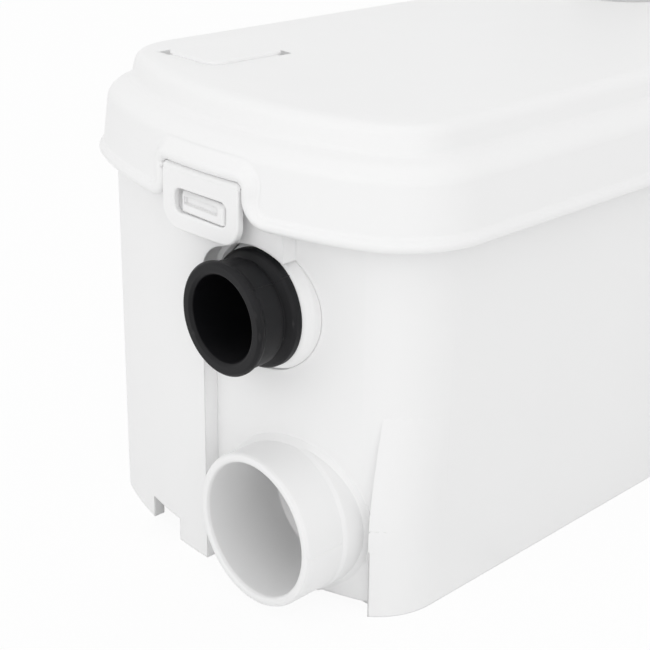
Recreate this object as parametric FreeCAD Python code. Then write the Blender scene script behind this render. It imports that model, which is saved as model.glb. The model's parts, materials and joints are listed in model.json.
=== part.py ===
"""Sewage lifting unit: a low tank with a clipped lid, side inlets, and a pump set inside.

Frame: +Z up, feet on z = 0, the origin below the middle of the tank. The long way is X.
The two waste inlets that show are on the -X end, and the plain long side faces -Y.
"""
import FreeCAD, Part
import math
import os

Vector = FreeCAD.Vector
UP = Vector(0, 0, 1)
ALONG = Vector(1, 0, 0)
ACROSS = Vector(0, 1, 0)

# Tank, measured at the foot; every wall leans out by the draft on its way up
tank_length = 284.1
tank_width = 140.2
tank_height = 131.0
tank_wall = 3.0
tank_draft = 0.012
tank_bow_radius = 149.0
tank_corner_radius = 24.0
floor_thickness = 2.8
foot_height = 8.0
foot_skirt_width = 4.0
sump_half_length = 120.0
sump_back_y = 50.0
sump_front_y = -58.0
rim_flange_width = 0.8
rim_flange_height = 3.0

# Recess in each end for the ports, and the feet that it leaves
recess_depth = 5.2
recess_front_y = -61.0
corner_foot_height = 30.6
catch_block_z = 113.0
catch_block_radius = 11.0
notch_low_y = 15.2
notch_high_y = 33.0
notch_depth = 24.0

# Lid, laid out inward and upward from the widest line of its rim bead
lid_end_overhang = 7.95
lid_side_overhang = 10.5
lid_bow_radius = 145.0
lid_corner_radius = 35.0
lid_wall = 2.0
lid_skirt_lap = 7.2
bead_roll = 1.6
bead_height = 5.4
bead_lip = 1.5
skirt_height = 21.0
skirt_lean = 1.7
bevel_size = 3.2
shoulder_width = 4.5
shoulder_rise = 1.8
riser_height = 6.4
riser_lean = 1.4
crown_round = 1.8
crown_rise = 0.6
crown_width = 3.0
lid_rib_width = 2.4

# Rim seal on the tank's flange
seal_width = 4.0
seal_height = 2.4

# Latches, one on each end
latch_y = -5.4
latch_width = 33.0
latch_thickness = 2.6
latch_height = 21.0
latch_proud = 1.1
latch_bottom_radius = 7.0
latch_pin_radius = 0.8
latch_barrel_radius = 1.8
latch_slot_length = 22.0
latch_slot_height = 7.6
latch_slot_z = 125.1
latch_side_gap = 1.2
notch_mouth_radius = 5.0
notch_mouth_drop = 0.3
notch_top_radius = 2.0
notch_top_gap = 0.5
notch_bead_width = 3.2
pin_clearance = 0.08
moving_gap = 0.3

# Catch bar under each latch
catch_length = 20.0
catch_height = 6.4
catch_pocket_depth = 1.2

# Vent cover, pry notches and carbon filter at the back left of the lid
vent_x = -100.2
vent_y = 40.8
vent_length = 32.6
vent_width = 22.6
vent_corner_radius = 4.0
vent_seat_depth = 1.6
vent_proud = 0.7
vent_gap = 0.35
pry_notch_size = 3.0
filter_length = 24.0
filter_width = 14.0
filter_height = 9.0
basket_wall = 1.6

# Lower inlets, a 50 mm spigot on each end
inlet_y = -31.8
inlet_z = 27.2
inlet_outer_radius = 25.0
inlet_bore_radius = 21.8
inlet_reach = 8.3
inlet_inner_length = 18.0
inlet_root_cone = 1.5
inlet_root_step = 0.6
inlet_edge_round = 1.2
hole_clearance = 0.05

# Non-return flap on the inner end of each lower inlet
inlet_seat_radius = 19.6
inlet_seat_length = 3.0
flap_radius = 21.2
flap_thickness = 2.0
flap_pin_radius = 1.1
flap_barrel_radius = 2.3
flap_barrel_length = 11.0
flap_lug_thickness = 2.5
flap_lug_height = 6.0

# Upper inlet neck and its rubber sleeve
upper_y = -21.0
upper_z = 95.5
neck_radius = 19.6
neck_root_radius = 20.8
neck_bore_radius = 17.1
neck_reach = 4.1
neck_inner_length = 8.0
sleeve_bore_radius = 13.7
sleeve_flange_radius = 17.95
sleeve_waist_radius = 16.8
sleeve_collar_radius = 18.85
sleeve_reach = 16.0
sleeve_collar_width = 3.2
sleeve_tail_length = 12.0

# Pump set, on the axis that motor and impeller share
pump_x = 0.0
pump_y = -8.0
strainer_height = 8.0
strainer_radius = 40.0
strainer_slot_width = 3.2
strainer_slots = 16
damper_radius = 6.0
damper_height = 4.0
volute_radius = 42.0
volute_growth = 8.0
volute_height = 28.0
volute_wall = 3.5
volute_floor = 3.0
eye_radius = 14.0
spout_radius = 13.0
spout_bore_radius = 10.0
spout_y = 26.0
spout_end_x = 66.0
impeller_radius = 33.0
impeller_disc = 2.4
impeller_blade_height = 9.0
impeller_blade_thickness = 2.6
impeller_blades = 6
impeller_gap = 1.6
nut_radius = 6.0
nut_height = 4.5

# Motor in its sealed can
motor_radius = 43.0
motor_height = 82.0
motor_wall = 2.5
motor_rib_depth = 1.6
motor_rib_width = 2.4
motor_ribs = 12
flange_radius = 52.0
flange_thickness = 4.0
motor_cap_height = 9.0
shaft_radius = 5.0
bearing_outer_radius = 13.0
bearing_height = 8.0
seal_ring_radius = 11.0
seal_ring_height = 7.0
stator_inner_radius = 20.0
stator_height = 38.0
air_gap = 0.5
screw_radius = 2.0
screw_head_radius = 3.6
screw_head_height = 2.6
pump_screw_count = 4

# Discharge line: coupling, pipe, non-return valve and riser
coupling_length = 24.0
coupling_wall = 2.5
clamp_width = 8.0
clamp_thickness = 1.0
clamp_screw_radius = 3.0
discharge_x = 103.0
discharge_y = 26.0
bend_radius = 24.0
valve_z = 64.0
valve_radius = 20.0
valve_inner_radius = 17.4
valve_height = 42.0
valve_seat_height = 6.0
valve_seat_bore_radius = 11.0
valve_flap_radius = 13.3
valve_flap_thickness = 2.0
valve_pin_radius = 1.0
riser_socket_depth = 16.0
riser_top_gap = 10.0
elbow_radius = 14.0
elbow_bore_radius = 11.0
elbow_rise = 24.0
elbow_bend_radius = 22.0
elbow_spigot_length = 26.0
elbow_flange_radius = 18.5
elbow_flange_height = 2.5
elbow_clearance = 0.35
elbow_tail_gap = 3.0
collar_radius = 22.0
collar_height = 2.4
grommet_wall = 2.2
grommet_lip = 2.0

# Level sensing: air bell, membrane switch
bell_x = -84.0
bell_y = 34.0
bell_radius = 12.0
bell_wall = 2.0
bell_height = 98.0
bell_port_width = 8.0
bell_port_height = 10.0
switch_radius = 17.0
switch_height = 10.0
switch_wall = 2.0
membrane_thickness = 1.0
plunger_radius = 3.0
plunger_length = 7.0
plunger_travel = 1.2
microswitch_length = 20.0
microswitch_width = 10.0
microswitch_height = 8.0

# Junction box on the back wall, its capacitor and the cable gland
box_x = 8.0
box_z = 82.0
box_length = 58.0
box_depth = 18.0
box_height = 40.0
box_wall = 2.0
box_post_radius = 4.0
box_post_spacing = 40.0
box_front_y = 47.0
capacitor_radius = 6.0
capacitor_length = 44.0
gland_z = 107.0
gland_x = 8.0
gland_radius = 8.0
gland_hex_radius = 10.0
gland_hex_length = 6.0
gland_nose_length = 10.0
gland_bore_radius = 3.6
lead_radius = 2.6
lead_rise = 2.0
lead_bend = 8.0

# Places worked out from the sizes above
half_length = tank_length / 2
half_width = tank_width / 2
rim_z = tank_height
lid_rim_z = tank_height - lid_skirt_lap
lid_half_length = half_length + lid_end_overhang
lid_half_width = half_width + lid_side_overhang
seal_top_z = rim_z + seal_height
floor_z = foot_height + floor_thickness
sump_z = floor_thickness
channel_z = inlet_z - inlet_bore_radius
base_z = channel_z - floor_thickness
shoulder_z = lid_rim_z + skirt_height + bevel_size + shoulder_rise
crown_z = shoulder_z + riser_height + crown_round + crown_rise
latch_pin_inset = latch_barrel_radius - latch_proud
latch_pin_z = lid_rim_z + 11.4


def outline(length, width, bow, corner, z):
    """Closed plan outline: straight sides, round corners and bowed ends (half sizes)."""
    bow_x = length - bow
    side = width - corner
    run = math.sqrt((bow - corner) ** 2 - side ** 2)
    angle = math.atan2(side, run)
    corner_x = bow_x + run
    touch_x = bow_x + bow * math.cos(angle)
    touch_y = bow * math.sin(angle)
    middle = (angle + math.pi / 2) / 2
    round_x = corner_x + corner * math.cos(middle)
    round_y = side + corner * math.sin(middle)

    def arc(a, b, c):
        return Part.Arc(Vector(*a, z), Vector(*b, z), Vector(*c, z)).toShape()

    def line(a, b):
        return Part.makeLine(Vector(*a, z), Vector(*b, z))

    edges = [
        arc((touch_x, -touch_y), (length, 0), (touch_x, touch_y)),
        arc((touch_x, touch_y), (round_x, round_y), (corner_x, width)),
        line((corner_x, width), (-corner_x, width)),
        arc((-corner_x, width), (-round_x, round_y), (-touch_x, touch_y)),
        arc((-touch_x, touch_y), (-length, 0), (-touch_x, -touch_y)),
        arc((-touch_x, -touch_y), (-round_x, -round_y), (-corner_x, -width)),
        line((-corner_x, -width), (corner_x, -width)),
        arc((corner_x, -width), (round_x, -round_y), (touch_x, -touch_y)),
    ]
    return Part.Wire(edges)


def tank_outline(inset, z, lean_z=None):
    """Outline of the tank's wall, moved inward by inset, leaning with its height."""
    grow = tank_draft * (z if lean_z is None else lean_z) - inset
    return outline(half_length + grow, half_width + grow, tank_bow_radius + grow,
                   tank_corner_radius + grow, z)


def lid_outline(inset, z):
    """Outline of the lid, moved inward from the widest line of its rim bead."""
    return outline(lid_half_length - inset, lid_half_width - inset, lid_bow_radius - inset,
                   lid_corner_radius - inset, z)


def loft(wires):
    """Solid with ruled walls between the outlines."""
    return Part.makeLoft(wires, True, True)


def box(x0, x1, y0, y1, z0, z1):
    """Block between two corners."""
    low = Vector(min(x0, x1), min(y0, y1), min(z0, z1))
    return Part.makeBox(abs(x1 - x0), abs(y1 - y0), abs(z1 - z0), low)


def rod(radius, start, length, axis=UP):
    """Solid cylinder."""
    return Part.makeCylinder(radius, length, start, axis)


def pipe(outer, inner, start, length, axis=UP):
    """Hollow cylinder."""
    body = rod(outer, start, length, axis)
    return body.cut(rod(inner, start, length, axis))


def turned(points, centre, axis):
    """Solid of revolution: points are (distance along the axis, radius)."""
    spots = [Vector(r, 0, a) for a, r in points]
    wire = Part.makePolygon(spots + [spots[0]])
    solid = Part.Face(wire).revolve(Vector(0, 0, 0), UP, 360)
    solid.Placement = FreeCAD.Placement(centre, FreeCAD.Rotation(UP, axis))
    return solid


def rounded_plate(length, width, height, radius, centre):
    """Upright-sided plate with rounded corners, centred in plan on its lower face."""
    plate = box(centre.x - length / 2, centre.x + length / 2, centre.y - width / 2,
                centre.y + width / 2, centre.z, centre.z + height)
    edges = [e for e in plate.Edges if abs(e.Vertexes[0].Z - e.Vertexes[1].Z) > height / 2]
    return plate.makeFillet(radius, edges)


def fused(shapes):
    """One solid from touching or overlapping shapes."""
    return shapes[0].multiFuse(shapes[1:]).removeSplitter()


def mirrored(shape):
    """The same piece on the other end."""
    return shape.mirror(Vector(0, 0, 0), ALONG)


def end_x(y, z, inset=0.0):
    """X of the tank's proud -X wall at a place on the bowed stretch."""
    grow = tank_draft * z - inset
    bow = tank_bow_radius + grow
    return -(half_length + grow - bow + math.sqrt(bow ** 2 - y ** 2))


def recess_tool(edge_y, keep_foot, keep_catch):
    """Region of the -X end that is set back for the ports."""
    front = -(half_width + 20)
    far = -(half_length + 20)
    near = -(half_length - 45)
    tool = box(far, near, front, edge_y, -1, rim_z + 1)
    if keep_foot:
        tool = tool.cut(box(far, near, front, recess_front_y, -2, corner_foot_height))
    if keep_catch:
        low_y = latch_y - latch_width / 2 - catch_block_radius
        block = box(far, near, low_y, edge_y + catch_block_radius, catch_block_z, rim_z + 2)
        corner_y = edge_y - catch_block_radius
        corner_z = catch_block_z - catch_block_radius
        fill = box(far, near, corner_y, edge_y + 1, corner_z, catch_block_z + 1)
        cove = rod(catch_block_radius, Vector(far, corner_y, corner_z), near - far, ALONG)
        tool = tool.cut(block).cut(fill.cut(cove))
    return tool


def tank_form(inset, low_z, top_z, edge_y, keep_foot=False, keep_catch=False):
    """Drafted tank body with both ends set back beside the ledge at edge_y."""
    body = loft([tank_outline(inset, low_z), tank_outline(inset, top_z)])
    tool = recess_tool(edge_y, keep_foot, keep_catch)
    back = body.copy()
    back.translate(Vector(recess_depth, 0, 0))
    left = body.common(tool).cut(back)
    return body.cut(left).cut(mirrored(left))


def sump_form(margin, low_z, top_z):
    """Low middle of the floor, where the pump stands; its underside bears on the ground."""
    return box(-sump_half_length - margin, sump_half_length + margin, sump_front_y - margin,
               sump_back_y + margin, low_z, top_z)


def channel_form(margin, low_z, top_z):
    """Low strip in front of the ledge, which runs to both lower inlets."""
    return box(-half_length - 5, half_length + 5, sump_front_y - margin, margin - tank_wall, low_z, top_z)


def make_tank():
    """Open tank with skirt feet, set-back ends, a low sump and a flanged rim."""
    outer = tank_form(0, 0, rim_z, 0.0, keep_foot=True, keep_catch=True)
    cavity = tank_form(tank_wall, floor_z, rim_z + 1, tank_wall)
    channel = tank_form(tank_wall, channel_z, floor_z + 0.5, tank_wall)
    channel = channel.common(channel_form(0, channel_z, floor_z + 0.5))
    sump = sump_form(0, sump_z, floor_z + 0.5)
    under = loft([tank_outline(foot_skirt_width, -1), tank_outline(foot_skirt_width, foot_height)])
    under = under.cut(sump_form(tank_wall, -2, foot_height + 1))
    under = under.cut(channel_form(tank_wall, base_z, foot_height + 1))
    body = outer.cut(cavity).cut(channel).cut(sump).cut(under)

    flange_low = rim_z - rim_flange_height
    flange = loft([tank_outline(0.5, flange_low), tank_outline(-rim_flange_width, flange_low + 1.2),
                   tank_outline(-rim_flange_width, rim_z)])
    flange = flange.cut(tank_form(tank_wall, flange_low - 1, rim_z + 1, tank_wall))
    half_gap = latch_width / 2 + latch_side_gap + 2
    gap = box(-half_length - 20, -half_length + 40, latch_y - half_gap, latch_y + half_gap,
              flange_low - 1, rim_z + 1).cut(loft([tank_outline(0, flange_low - 2), tank_outline(0, rim_z + 2)]))
    body = body.fuse(flange.cut(gap).cut(mirrored(gap)))

    notch = box(-half_length - 10, -half_length + notch_depth, notch_low_y, notch_high_y, -1, foot_height)
    raised = box(-half_length - 10, -sump_half_length - tank_wall - 3, recess_front_y, 0, -1, base_z)
    for cutter in (notch, raised):
        body = body.cut(cutter).cut(mirrored(cutter))

    hole_end = inlet_inner_x() + hole_clearance
    hole = rod(inlet_outer_radius + inlet_root_step + hole_clearance,
               Vector(-half_length - 20, inlet_y, inlet_z), hole_end + half_length + 20, ALONG)
    body = body.cut(hole).cut(mirrored(hole))
    body = body.cut(rod(neck_root_radius + hole_clearance,
                        Vector(-half_length - 20, upper_y, upper_z), 40, ALONG))

    gland_hole = rod(gland_radius + hole_clearance, Vector(gland_x, half_width - 20, gland_z), 60, ACROSS)
    body = body.cut(gland_hole)
    back = box_front_y + box_depth
    for side in (-1, 1):
        post = rod(box_post_radius, Vector(box_x + side * box_post_spacing / 2, back, box_z + 10),
                   half_width - back, ACROSS)
        body = body.fuse(post)
    return body.removeSplitter()


def lid_levels():
    """Outer profile of the lid, as (inset, z) from the rim bead to the flat top."""
    skirt_top = lid_rim_z + skirt_height
    bevel_z = skirt_top + bevel_size
    bevel_inset = bead_roll + skirt_lean + bevel_size
    shoulder_inset = bevel_inset + shoulder_width
    riser_inset = shoulder_inset + riser_lean
    riser_z = shoulder_z + riser_height
    return [
        (bead_roll / 2, lid_rim_z),
        (0, lid_rim_z + bead_lip),
        (bead_roll / 3, lid_rim_z + bead_height * 0.6),
        (bead_roll, lid_rim_z + bead_height),
        (bead_roll + skirt_lean, skirt_top),
        (bevel_inset, bevel_z),
        (shoulder_inset, shoulder_z),
        (riser_inset, riser_z),
        (riser_inset + crown_round, riser_z + crown_round),
        (riser_inset + crown_round + crown_width, crown_z),
    ]


def lid_outer():
    """Lid filled solid."""
    return loft([lid_outline(inset, z) for inset, z in lid_levels()])


def lid_inner():
    """Hollow of the lid."""
    levels = lid_levels()
    wires = [lid_outline(bead_roll + lid_wall, lid_rim_z - 1)]
    skirt_inset, skirt_z = levels[4]
    wires.append(lid_outline(skirt_inset + lid_wall, skirt_z - lid_wall / 2))
    for inset, z in levels[5:]:
        wires.append(lid_outline(inset + lid_wall, z - lid_wall))
    return loft(wires)


def notch_form(grow):
    """Latch notch in the -X end of the skirt, grown outward by grow, as a block along X."""
    half = latch_width / 2 + latch_side_gap + grow
    mouth = notch_mouth_radius - grow
    top = latch_pin_z + latch_barrel_radius + notch_top_gap + grow
    bend = notch_top_radius + grow
    low = lid_rim_z
    diagonal = math.sqrt(0.5)
    x = -lid_half_length - 5

    def spot(y, z):
        return Vector(x, latch_y + y, z)

    edges = []
    for side in (-1, 1):
        start = low - notch_mouth_drop
        edges.append(Part.makeLine(spot(side * (half + mouth), low - 2), spot(side * (half + mouth), start)))
        centre_y = half + mouth
        swing = centre_y - mouth * diagonal
        edges.append(Part.Arc(spot(side * centre_y, start), spot(side * swing, start + mouth - mouth * diagonal),
                              spot(side * half, start + mouth)).toShape())
        edges.append(Part.makeLine(spot(side * half, start + mouth), spot(side * half, top - bend)))
        edges.append(Part.Arc(spot(side * half, top - bend),
                              spot(side * (half - bend + bend * diagonal), top - bend + bend * diagonal),
                              spot(side * (half - bend), top)).toShape())
    edges.append(Part.makeLine(spot(-(half - bend), top), spot(half - bend, top)))
    edges.append(Part.makeLine(spot(-(half + mouth), low - 2), spot(half + mouth, low - 2)))
    wire = Part.Wire(Part.__sortEdges__(edges))
    return Part.Face(wire).extrude(Vector(lid_end_overhang + 14, 0, 0))


def lid_rib():
    """Rib under the lid that bears on the rim seal."""
    outer = loft([tank_outline(-lid_rib_width / 2, seal_top_z, rim_z), tank_outline(-lid_rib_width / 2, crown_z, rim_z)])
    inner = loft([tank_outline(lid_rib_width / 2, seal_top_z - 1, rim_z),
                  tank_outline(lid_rib_width / 2, crown_z + 1, rim_z)])
    return outer.cut(inner)


def vent_centre(z):
    """Middle of the vent cover at a height."""
    return Vector(vent_x, vent_y, z)


def make_lid():
    """Lid shell with its rim bead carried round the latch notches."""
    outer = lid_outer()
    shell = outer.cut(lid_inner())
    band = loft([lid_outline(0.15, lid_rim_z), lid_outline(0.15, crown_z)])
    band = band.cut(loft([lid_outline(bead_roll + lid_wall, lid_rim_z - 1), lid_outline(bead_roll + lid_wall, crown_z + 1)]))
    trim = notch_form(notch_bead_width).common(band)
    shell = shell.fuse(trim).fuse(mirrored(trim))
    shell = shell.fuse(lid_rib().common(outer))
    notch = notch_form(0)
    shell = shell.cut(notch).cut(mirrored(notch))

    basket = rounded_plate(filter_length + 2 * basket_wall, filter_width + 2 * basket_wall,
                           filter_height + basket_wall + vent_seat_depth, 2.0,
                           vent_centre(crown_z - lid_wall - filter_height - basket_wall))
    seat_floor = rounded_plate(vent_length + 4, vent_width + 4, vent_seat_depth + lid_wall, vent_corner_radius,
                               vent_centre(crown_z - vent_seat_depth - lid_wall))
    collar = rod(collar_radius, Vector(discharge_x, discharge_y, crown_z - lid_wall), lid_wall + collar_height)
    shell = shell.fuse(basket).fuse(seat_floor).fuse(collar)

    seat = rounded_plate(vent_length + 2 * vent_gap, vent_width + 2 * vent_gap, 20, vent_corner_radius,
                         vent_centre(crown_z - vent_seat_depth))
    cage = rounded_plate(filter_length, filter_width, 40, 1.0, vent_centre(crown_z - lid_wall - filter_height))
    shell = shell.cut(seat).cut(cage)
    for side in (-1, 1):
        centre = Vector(vent_x + side * vent_length / 2, vent_y - side * vent_width / 2, crown_z - vent_seat_depth)
        shell = shell.cut(rounded_plate(2 * pry_notch_size, 2 * pry_notch_size, 20, 1.0, centre))
    slots = int(filter_length // 6)
    for i in range(slots):
        x = vent_x + (i - (slots - 1) / 2) * 6
        shell = shell.cut(box(x - 1.2, x + 1.2, vent_y - filter_width / 2 + 1, vent_y + filter_width / 2 - 1,
                              crown_z - 40, crown_z - lid_wall))
    shell = shell.cut(rod(elbow_radius + grommet_wall + elbow_clearance,
                          Vector(discharge_x, discharge_y, crown_z - 20), 60))

    for side in (-1, 1):
        x = side * (lid_half_length - latch_pin_inset - latch_bow_drop())
        shell = shell.cut(rod(latch_pin_radius, Vector(x, latch_y - latch_pin_length() / 2, latch_pin_z),
                              latch_pin_length(), ACROSS))
    return shell.removeSplitter()


def latch_bow_drop():
    """How far the bowed rim falls back at the latch's side edge."""
    edge = abs(latch_y) + latch_width / 2
    return 0.3 * (lid_bow_radius - math.sqrt(lid_bow_radius ** 2 - edge ** 2))


def latch_pin_length():
    """Latch pin: the notch's width and a seat in the bead on each side."""
    return latch_width + 2 * latch_side_gap + 2 * (notch_bead_width - 0.9)


def latch_pin_x():
    """X of the -X latch pin."""
    return -(lid_half_length - latch_pin_inset - latch_bow_drop())


def make_latch():
    """Latch plate with its hinge barrel and the slot that takes the catch."""
    x = latch_pin_x()
    outer_x = x - latch_barrel_radius
    top = latch_pin_z
    low = latch_pin_z + latch_barrel_radius - latch_height
    plate = box(outer_x, outer_x + latch_thickness, latch_y - latch_width / 2, latch_y + latch_width / 2, low, top)
    corners = [e for e in plate.Edges if abs(e.Vertexes[0].X - e.Vertexes[1].X) > latch_thickness / 2
               and e.Vertexes[0].Z < low + 1]
    plate = plate.makeFillet(latch_bottom_radius, corners)
    barrel = rod(latch_barrel_radius, Vector(x, latch_y - latch_width / 2, latch_pin_z), latch_width, ACROSS)
    slot = box(outer_x - 5, outer_x + 10, latch_y - latch_slot_length / 2, latch_y + latch_slot_length / 2,
               latch_slot_z - latch_slot_height / 2, latch_slot_z + latch_slot_height / 2)
    slot_edges = [e for e in slot.Edges if abs(e.Vertexes[0].X - e.Vertexes[1].X) > 10]
    slot = slot.makeFillet(latch_slot_height / 2 - 0.6, slot_edges)
    hole = rod(latch_pin_radius + pin_clearance, Vector(x, latch_y - latch_width, latch_pin_z), 2 * latch_width, ACROSS)
    return plate.fuse(barrel).cut(slot).cut(hole).removeSplitter()


def make_latch_pins():
    """Two pins, one in each end of the lid."""
    pins = []
    for side in (-1, 1):
        start = Vector(-side * latch_pin_x(), latch_y - latch_pin_length() / 2, latch_pin_z)
        pins.append(rod(latch_pin_radius, start, latch_pin_length(), ACROSS))
    return Part.makeCompound(pins)


def make_catch():
    """Catch bar on the -X wall: a block with a ramp above, a hooking edge below and a pocket."""
    crest = latch_pin_x() - latch_barrel_radius + latch_thickness + moving_gap
    wall = end_x(latch_y, latch_slot_z)
    low = latch_slot_z - catch_height / 2
    high = latch_slot_z + catch_height / 2
    spots = [Vector(crest, 0, low), Vector(crest, 0, high - 1.2), Vector(crest + 1.2, 0, high),
             Vector(wall + 1.5, 0, high + 0.8), Vector(wall + 1.5, 0, low)]
    face = Part.Face(Part.makePolygon(spots + [spots[0]]))
    bar = face.extrude(Vector(0, catch_length, 0))
    bar.translate(Vector(0, latch_y - catch_length / 2, 0))
    ends = [e for e in bar.Edges if abs(e.Vertexes[0].X - crest) < 0.01 and abs(e.Vertexes[1].X - crest) < 0.01
            and abs(e.Vertexes[0].Y - e.Vertexes[1].Y) < 0.01]
    bar = bar.makeFillet(1.2, ends)
    pocket = box(crest - 1, crest + catch_pocket_depth, latch_y - catch_length / 2 + 3,
                 latch_y + catch_length / 2 - 1.5, latch_slot_z - 0.6, high - 1.4)
    wall_solid = tank_form(0, 0, rim_z, 0.0, keep_foot=True, keep_catch=True)
    return bar.cut(pocket).cut(wall_solid)


def make_rim_seal():
    """Flat ring on the tank's rim flange."""
    outside = (seal_width - tank_wall + rim_flange_width) / 2
    outer = loft([tank_outline(-outside, rim_z, rim_z), tank_outline(-outside, seal_top_z, rim_z)])
    inner = loft([tank_outline(seal_width - outside, rim_z - 1, rim_z),
                  tank_outline(seal_width - outside, seal_top_z + 1, rim_z)])
    ring = outer.cut(inner)
    half_gap = latch_width / 2 + latch_side_gap + 2
    gap = box(-half_length - 20, -half_length + 40, latch_y - half_gap, latch_y + half_gap,
              rim_z - 1, seal_top_z + 1).cut(loft([tank_outline(0, rim_z - 2, rim_z), tank_outline(0, seal_top_z + 2, rim_z)]))
    return ring.cut(gap).cut(mirrored(gap))


def make_vent_cover():
    """Cover pad in its seat, with a softened upper edge."""
    low = crown_z - vent_seat_depth
    height = vent_seat_depth + vent_proud
    pad = rounded_plate(vent_length, vent_width, height, vent_corner_radius, vent_centre(low))
    upper = [e for e in pad.Edges if all(abs(v.Z - low - height) < 0.01 for v in e.Vertexes)]
    return pad.makeFillet(0.6, upper)


def make_filter():
    """Carbon filter block in the lid's basket, seated on its bars."""
    low = crown_z - lid_wall - filter_height
    height = filter_height + lid_wall - vent_seat_depth - moving_gap
    return rounded_plate(filter_length - 0.6, filter_width - 0.6, height, 0.8, vent_centre(low))


def inlet_wall_x():
    """X of the set-back wall at the middle of the lower inlet."""
    return end_x(inlet_y, inlet_z) + recess_depth


def inlet_rim_x():
    """X of the open end of the -X spigot."""
    return -half_length - inlet_reach


def inlet_inner_x():
    """X of the inner end of the -X spigot, the seat of its flap."""
    return inlet_wall_x() + inlet_inner_length


def inlet_land_end():
    """X where the -X spigot's plain outside ends, short of the set-back wall's nearest point."""
    return end_x(recess_front_y / 2, inlet_z) + recess_depth - inlet_root_cone


def flap_pin_place():
    """X and Z of the flap's hinge pin on the -X inlet."""
    x = inlet_inner_x() + moving_gap + flap_thickness / 2
    z = inlet_z + inlet_outer_radius + inlet_root_step + flap_barrel_radius + 0.6
    return x, z


def make_inlet():
    """Lower inlet spigot: a slightly tapered pipe with a rounded mouth and two flap lugs."""
    rim = inlet_rim_x()
    inner = inlet_inner_x()
    wall = inlet_wall_x()
    length = inner - rim
    root = inlet_outer_radius + inlet_root_step
    edge = inlet_edge_round
    points = [
        (0, inlet_bore_radius + edge),
        (0, inlet_outer_radius - edge),
        (edge * 0.3, inlet_outer_radius - edge * 0.3),
        (edge, inlet_outer_radius),
        (inlet_land_end() - rim, inlet_outer_radius),
        (inlet_land_end() - rim + inlet_root_cone, root),
        (length, root),
        (length, inlet_seat_radius),
        (length - inlet_seat_length, inlet_seat_radius),
        (length - inlet_seat_length - 2, inlet_bore_radius),
        (edge, inlet_bore_radius),
        (edge * 0.3, inlet_bore_radius + edge * 0.3),
    ]
    body = turned(points, Vector(rim, inlet_y, inlet_z), ALONG)
    x, z = flap_pin_place()
    for side in (-1, 1):
        near = inlet_y + side * (flap_barrel_length / 2 + moving_gap)
        far = near + side * flap_lug_thickness
        lug = box(inner - 6, x + flap_barrel_radius, near, far, inlet_z + root - 2, z + flap_barrel_radius)
        lug = lug.cut(box(inner, x + 10, near - side, far + side, inlet_z, inlet_z + root + 0.3))
        body = body.fuse(lug)
    return body.cut(rod(flap_pin_radius, Vector(x, inlet_y - 20, z), 40, ACROSS)).removeSplitter()


def make_flap():
    """Non-return flap: a disc with its hinge barrel, hanging shut on the inlet's end."""
    x, z = flap_pin_place()
    seat = inlet_inner_x() + moving_gap
    disc = rod(flap_radius, Vector(seat, inlet_y, inlet_z), flap_thickness, ALONG)
    half = flap_barrel_length / 2
    neck = box(seat, seat + flap_thickness, inlet_y - half, inlet_y + half, inlet_z + flap_radius - 4, z)
    barrel = rod(flap_barrel_radius, Vector(x, inlet_y - half, z), flap_barrel_length, ACROSS)
    boss = rod(flap_radius * 0.4, Vector(seat + flap_thickness, inlet_y, inlet_z), 1.2, ALONG)
    body = fused([disc, neck, barrel, boss])
    return body.cut(rod(flap_pin_radius + pin_clearance, Vector(x, inlet_y - 20, z), 40, ACROSS))


def make_flap_pins():
    """Hinge pins of both inlet flaps."""
    x, z = flap_pin_place()
    length = flap_barrel_length + 2 * moving_gap + 2 * flap_lug_thickness
    pin = rod(flap_pin_radius, Vector(x, inlet_y - length / 2, z), length, ACROSS)
    return Part.makeCompound([pin, mirrored(pin)])


def neck_wall_x():
    """X of the set-back wall at the middle of the upper inlet."""
    return end_x(upper_y, upper_z) + recess_depth


def neck_rim_x():
    """X of the neck's rim."""
    return -half_length + neck_reach


def make_neck():
    """Upper inlet neck, coned out to its root, with the bore for the sleeve."""
    rim = neck_rim_x()
    length = neck_wall_x() + neck_inner_length - rim
    points = [(0, neck_bore_radius), (0, neck_radius - 0.8), (0.8, neck_radius), (3.6, neck_root_radius),
              (length, neck_root_radius), (length, neck_bore_radius)]
    return turned(points, Vector(rim, upper_y, upper_z), ALONG)


def make_sleeve():
    """Rubber inlet sleeve: mouth flange, waist, groove, bevelled collar and tail."""
    front = neck_rim_x() - sleeve_reach
    collar_end = sleeve_reach
    collar_start = collar_end - sleeve_collar_width
    tail = collar_end + sleeve_tail_length
    tail_radius = neck_bore_radius - hole_clearance
    points = [
        (0.8, sleeve_bore_radius),
        (0, sleeve_bore_radius + 0.9),
        (0, sleeve_flange_radius - 0.8),
        (0.8, sleeve_flange_radius),
        (2.0, sleeve_flange_radius),
        (3.2, sleeve_waist_radius + 0.4),
        (collar_start - 2.6, sleeve_waist_radius),
        (collar_start - 2.4, sleeve_waist_radius - 0.8),
        (collar_start - 1.2, sleeve_waist_radius - 0.8),
        (collar_start, sleeve_collar_radius - 0.7),
        (collar_start + 0.9, sleeve_collar_radius),
        (collar_end, sleeve_collar_radius),
        (collar_end, tail_radius),
        (tail, tail_radius),
        (tail, sleeve_bore_radius),
    ]
    return turned(points, Vector(front, upper_y, upper_z), ALONG)


def pump_spot(z):
    """Point on the pump's axis."""
    return Vector(pump_x, pump_y, z)


strainer_z = sump_z + damper_height
volute_z = strainer_z + strainer_height
volute_top_z = volute_z + volute_height
motor_z = volute_top_z
chamber_z = volute_z + volute_floor
impeller_z = chamber_z + impeller_gap
spout_z = volute_z + volute_height / 2
motor_top_z = motor_z + motor_height
bearing_low_z = motor_z + flange_thickness + seal_ring_height + 1
bearing_high_z = motor_top_z - bearing_height - 4
stator_z = (bearing_low_z + bearing_height + bearing_high_z - stator_height) / 2


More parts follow.
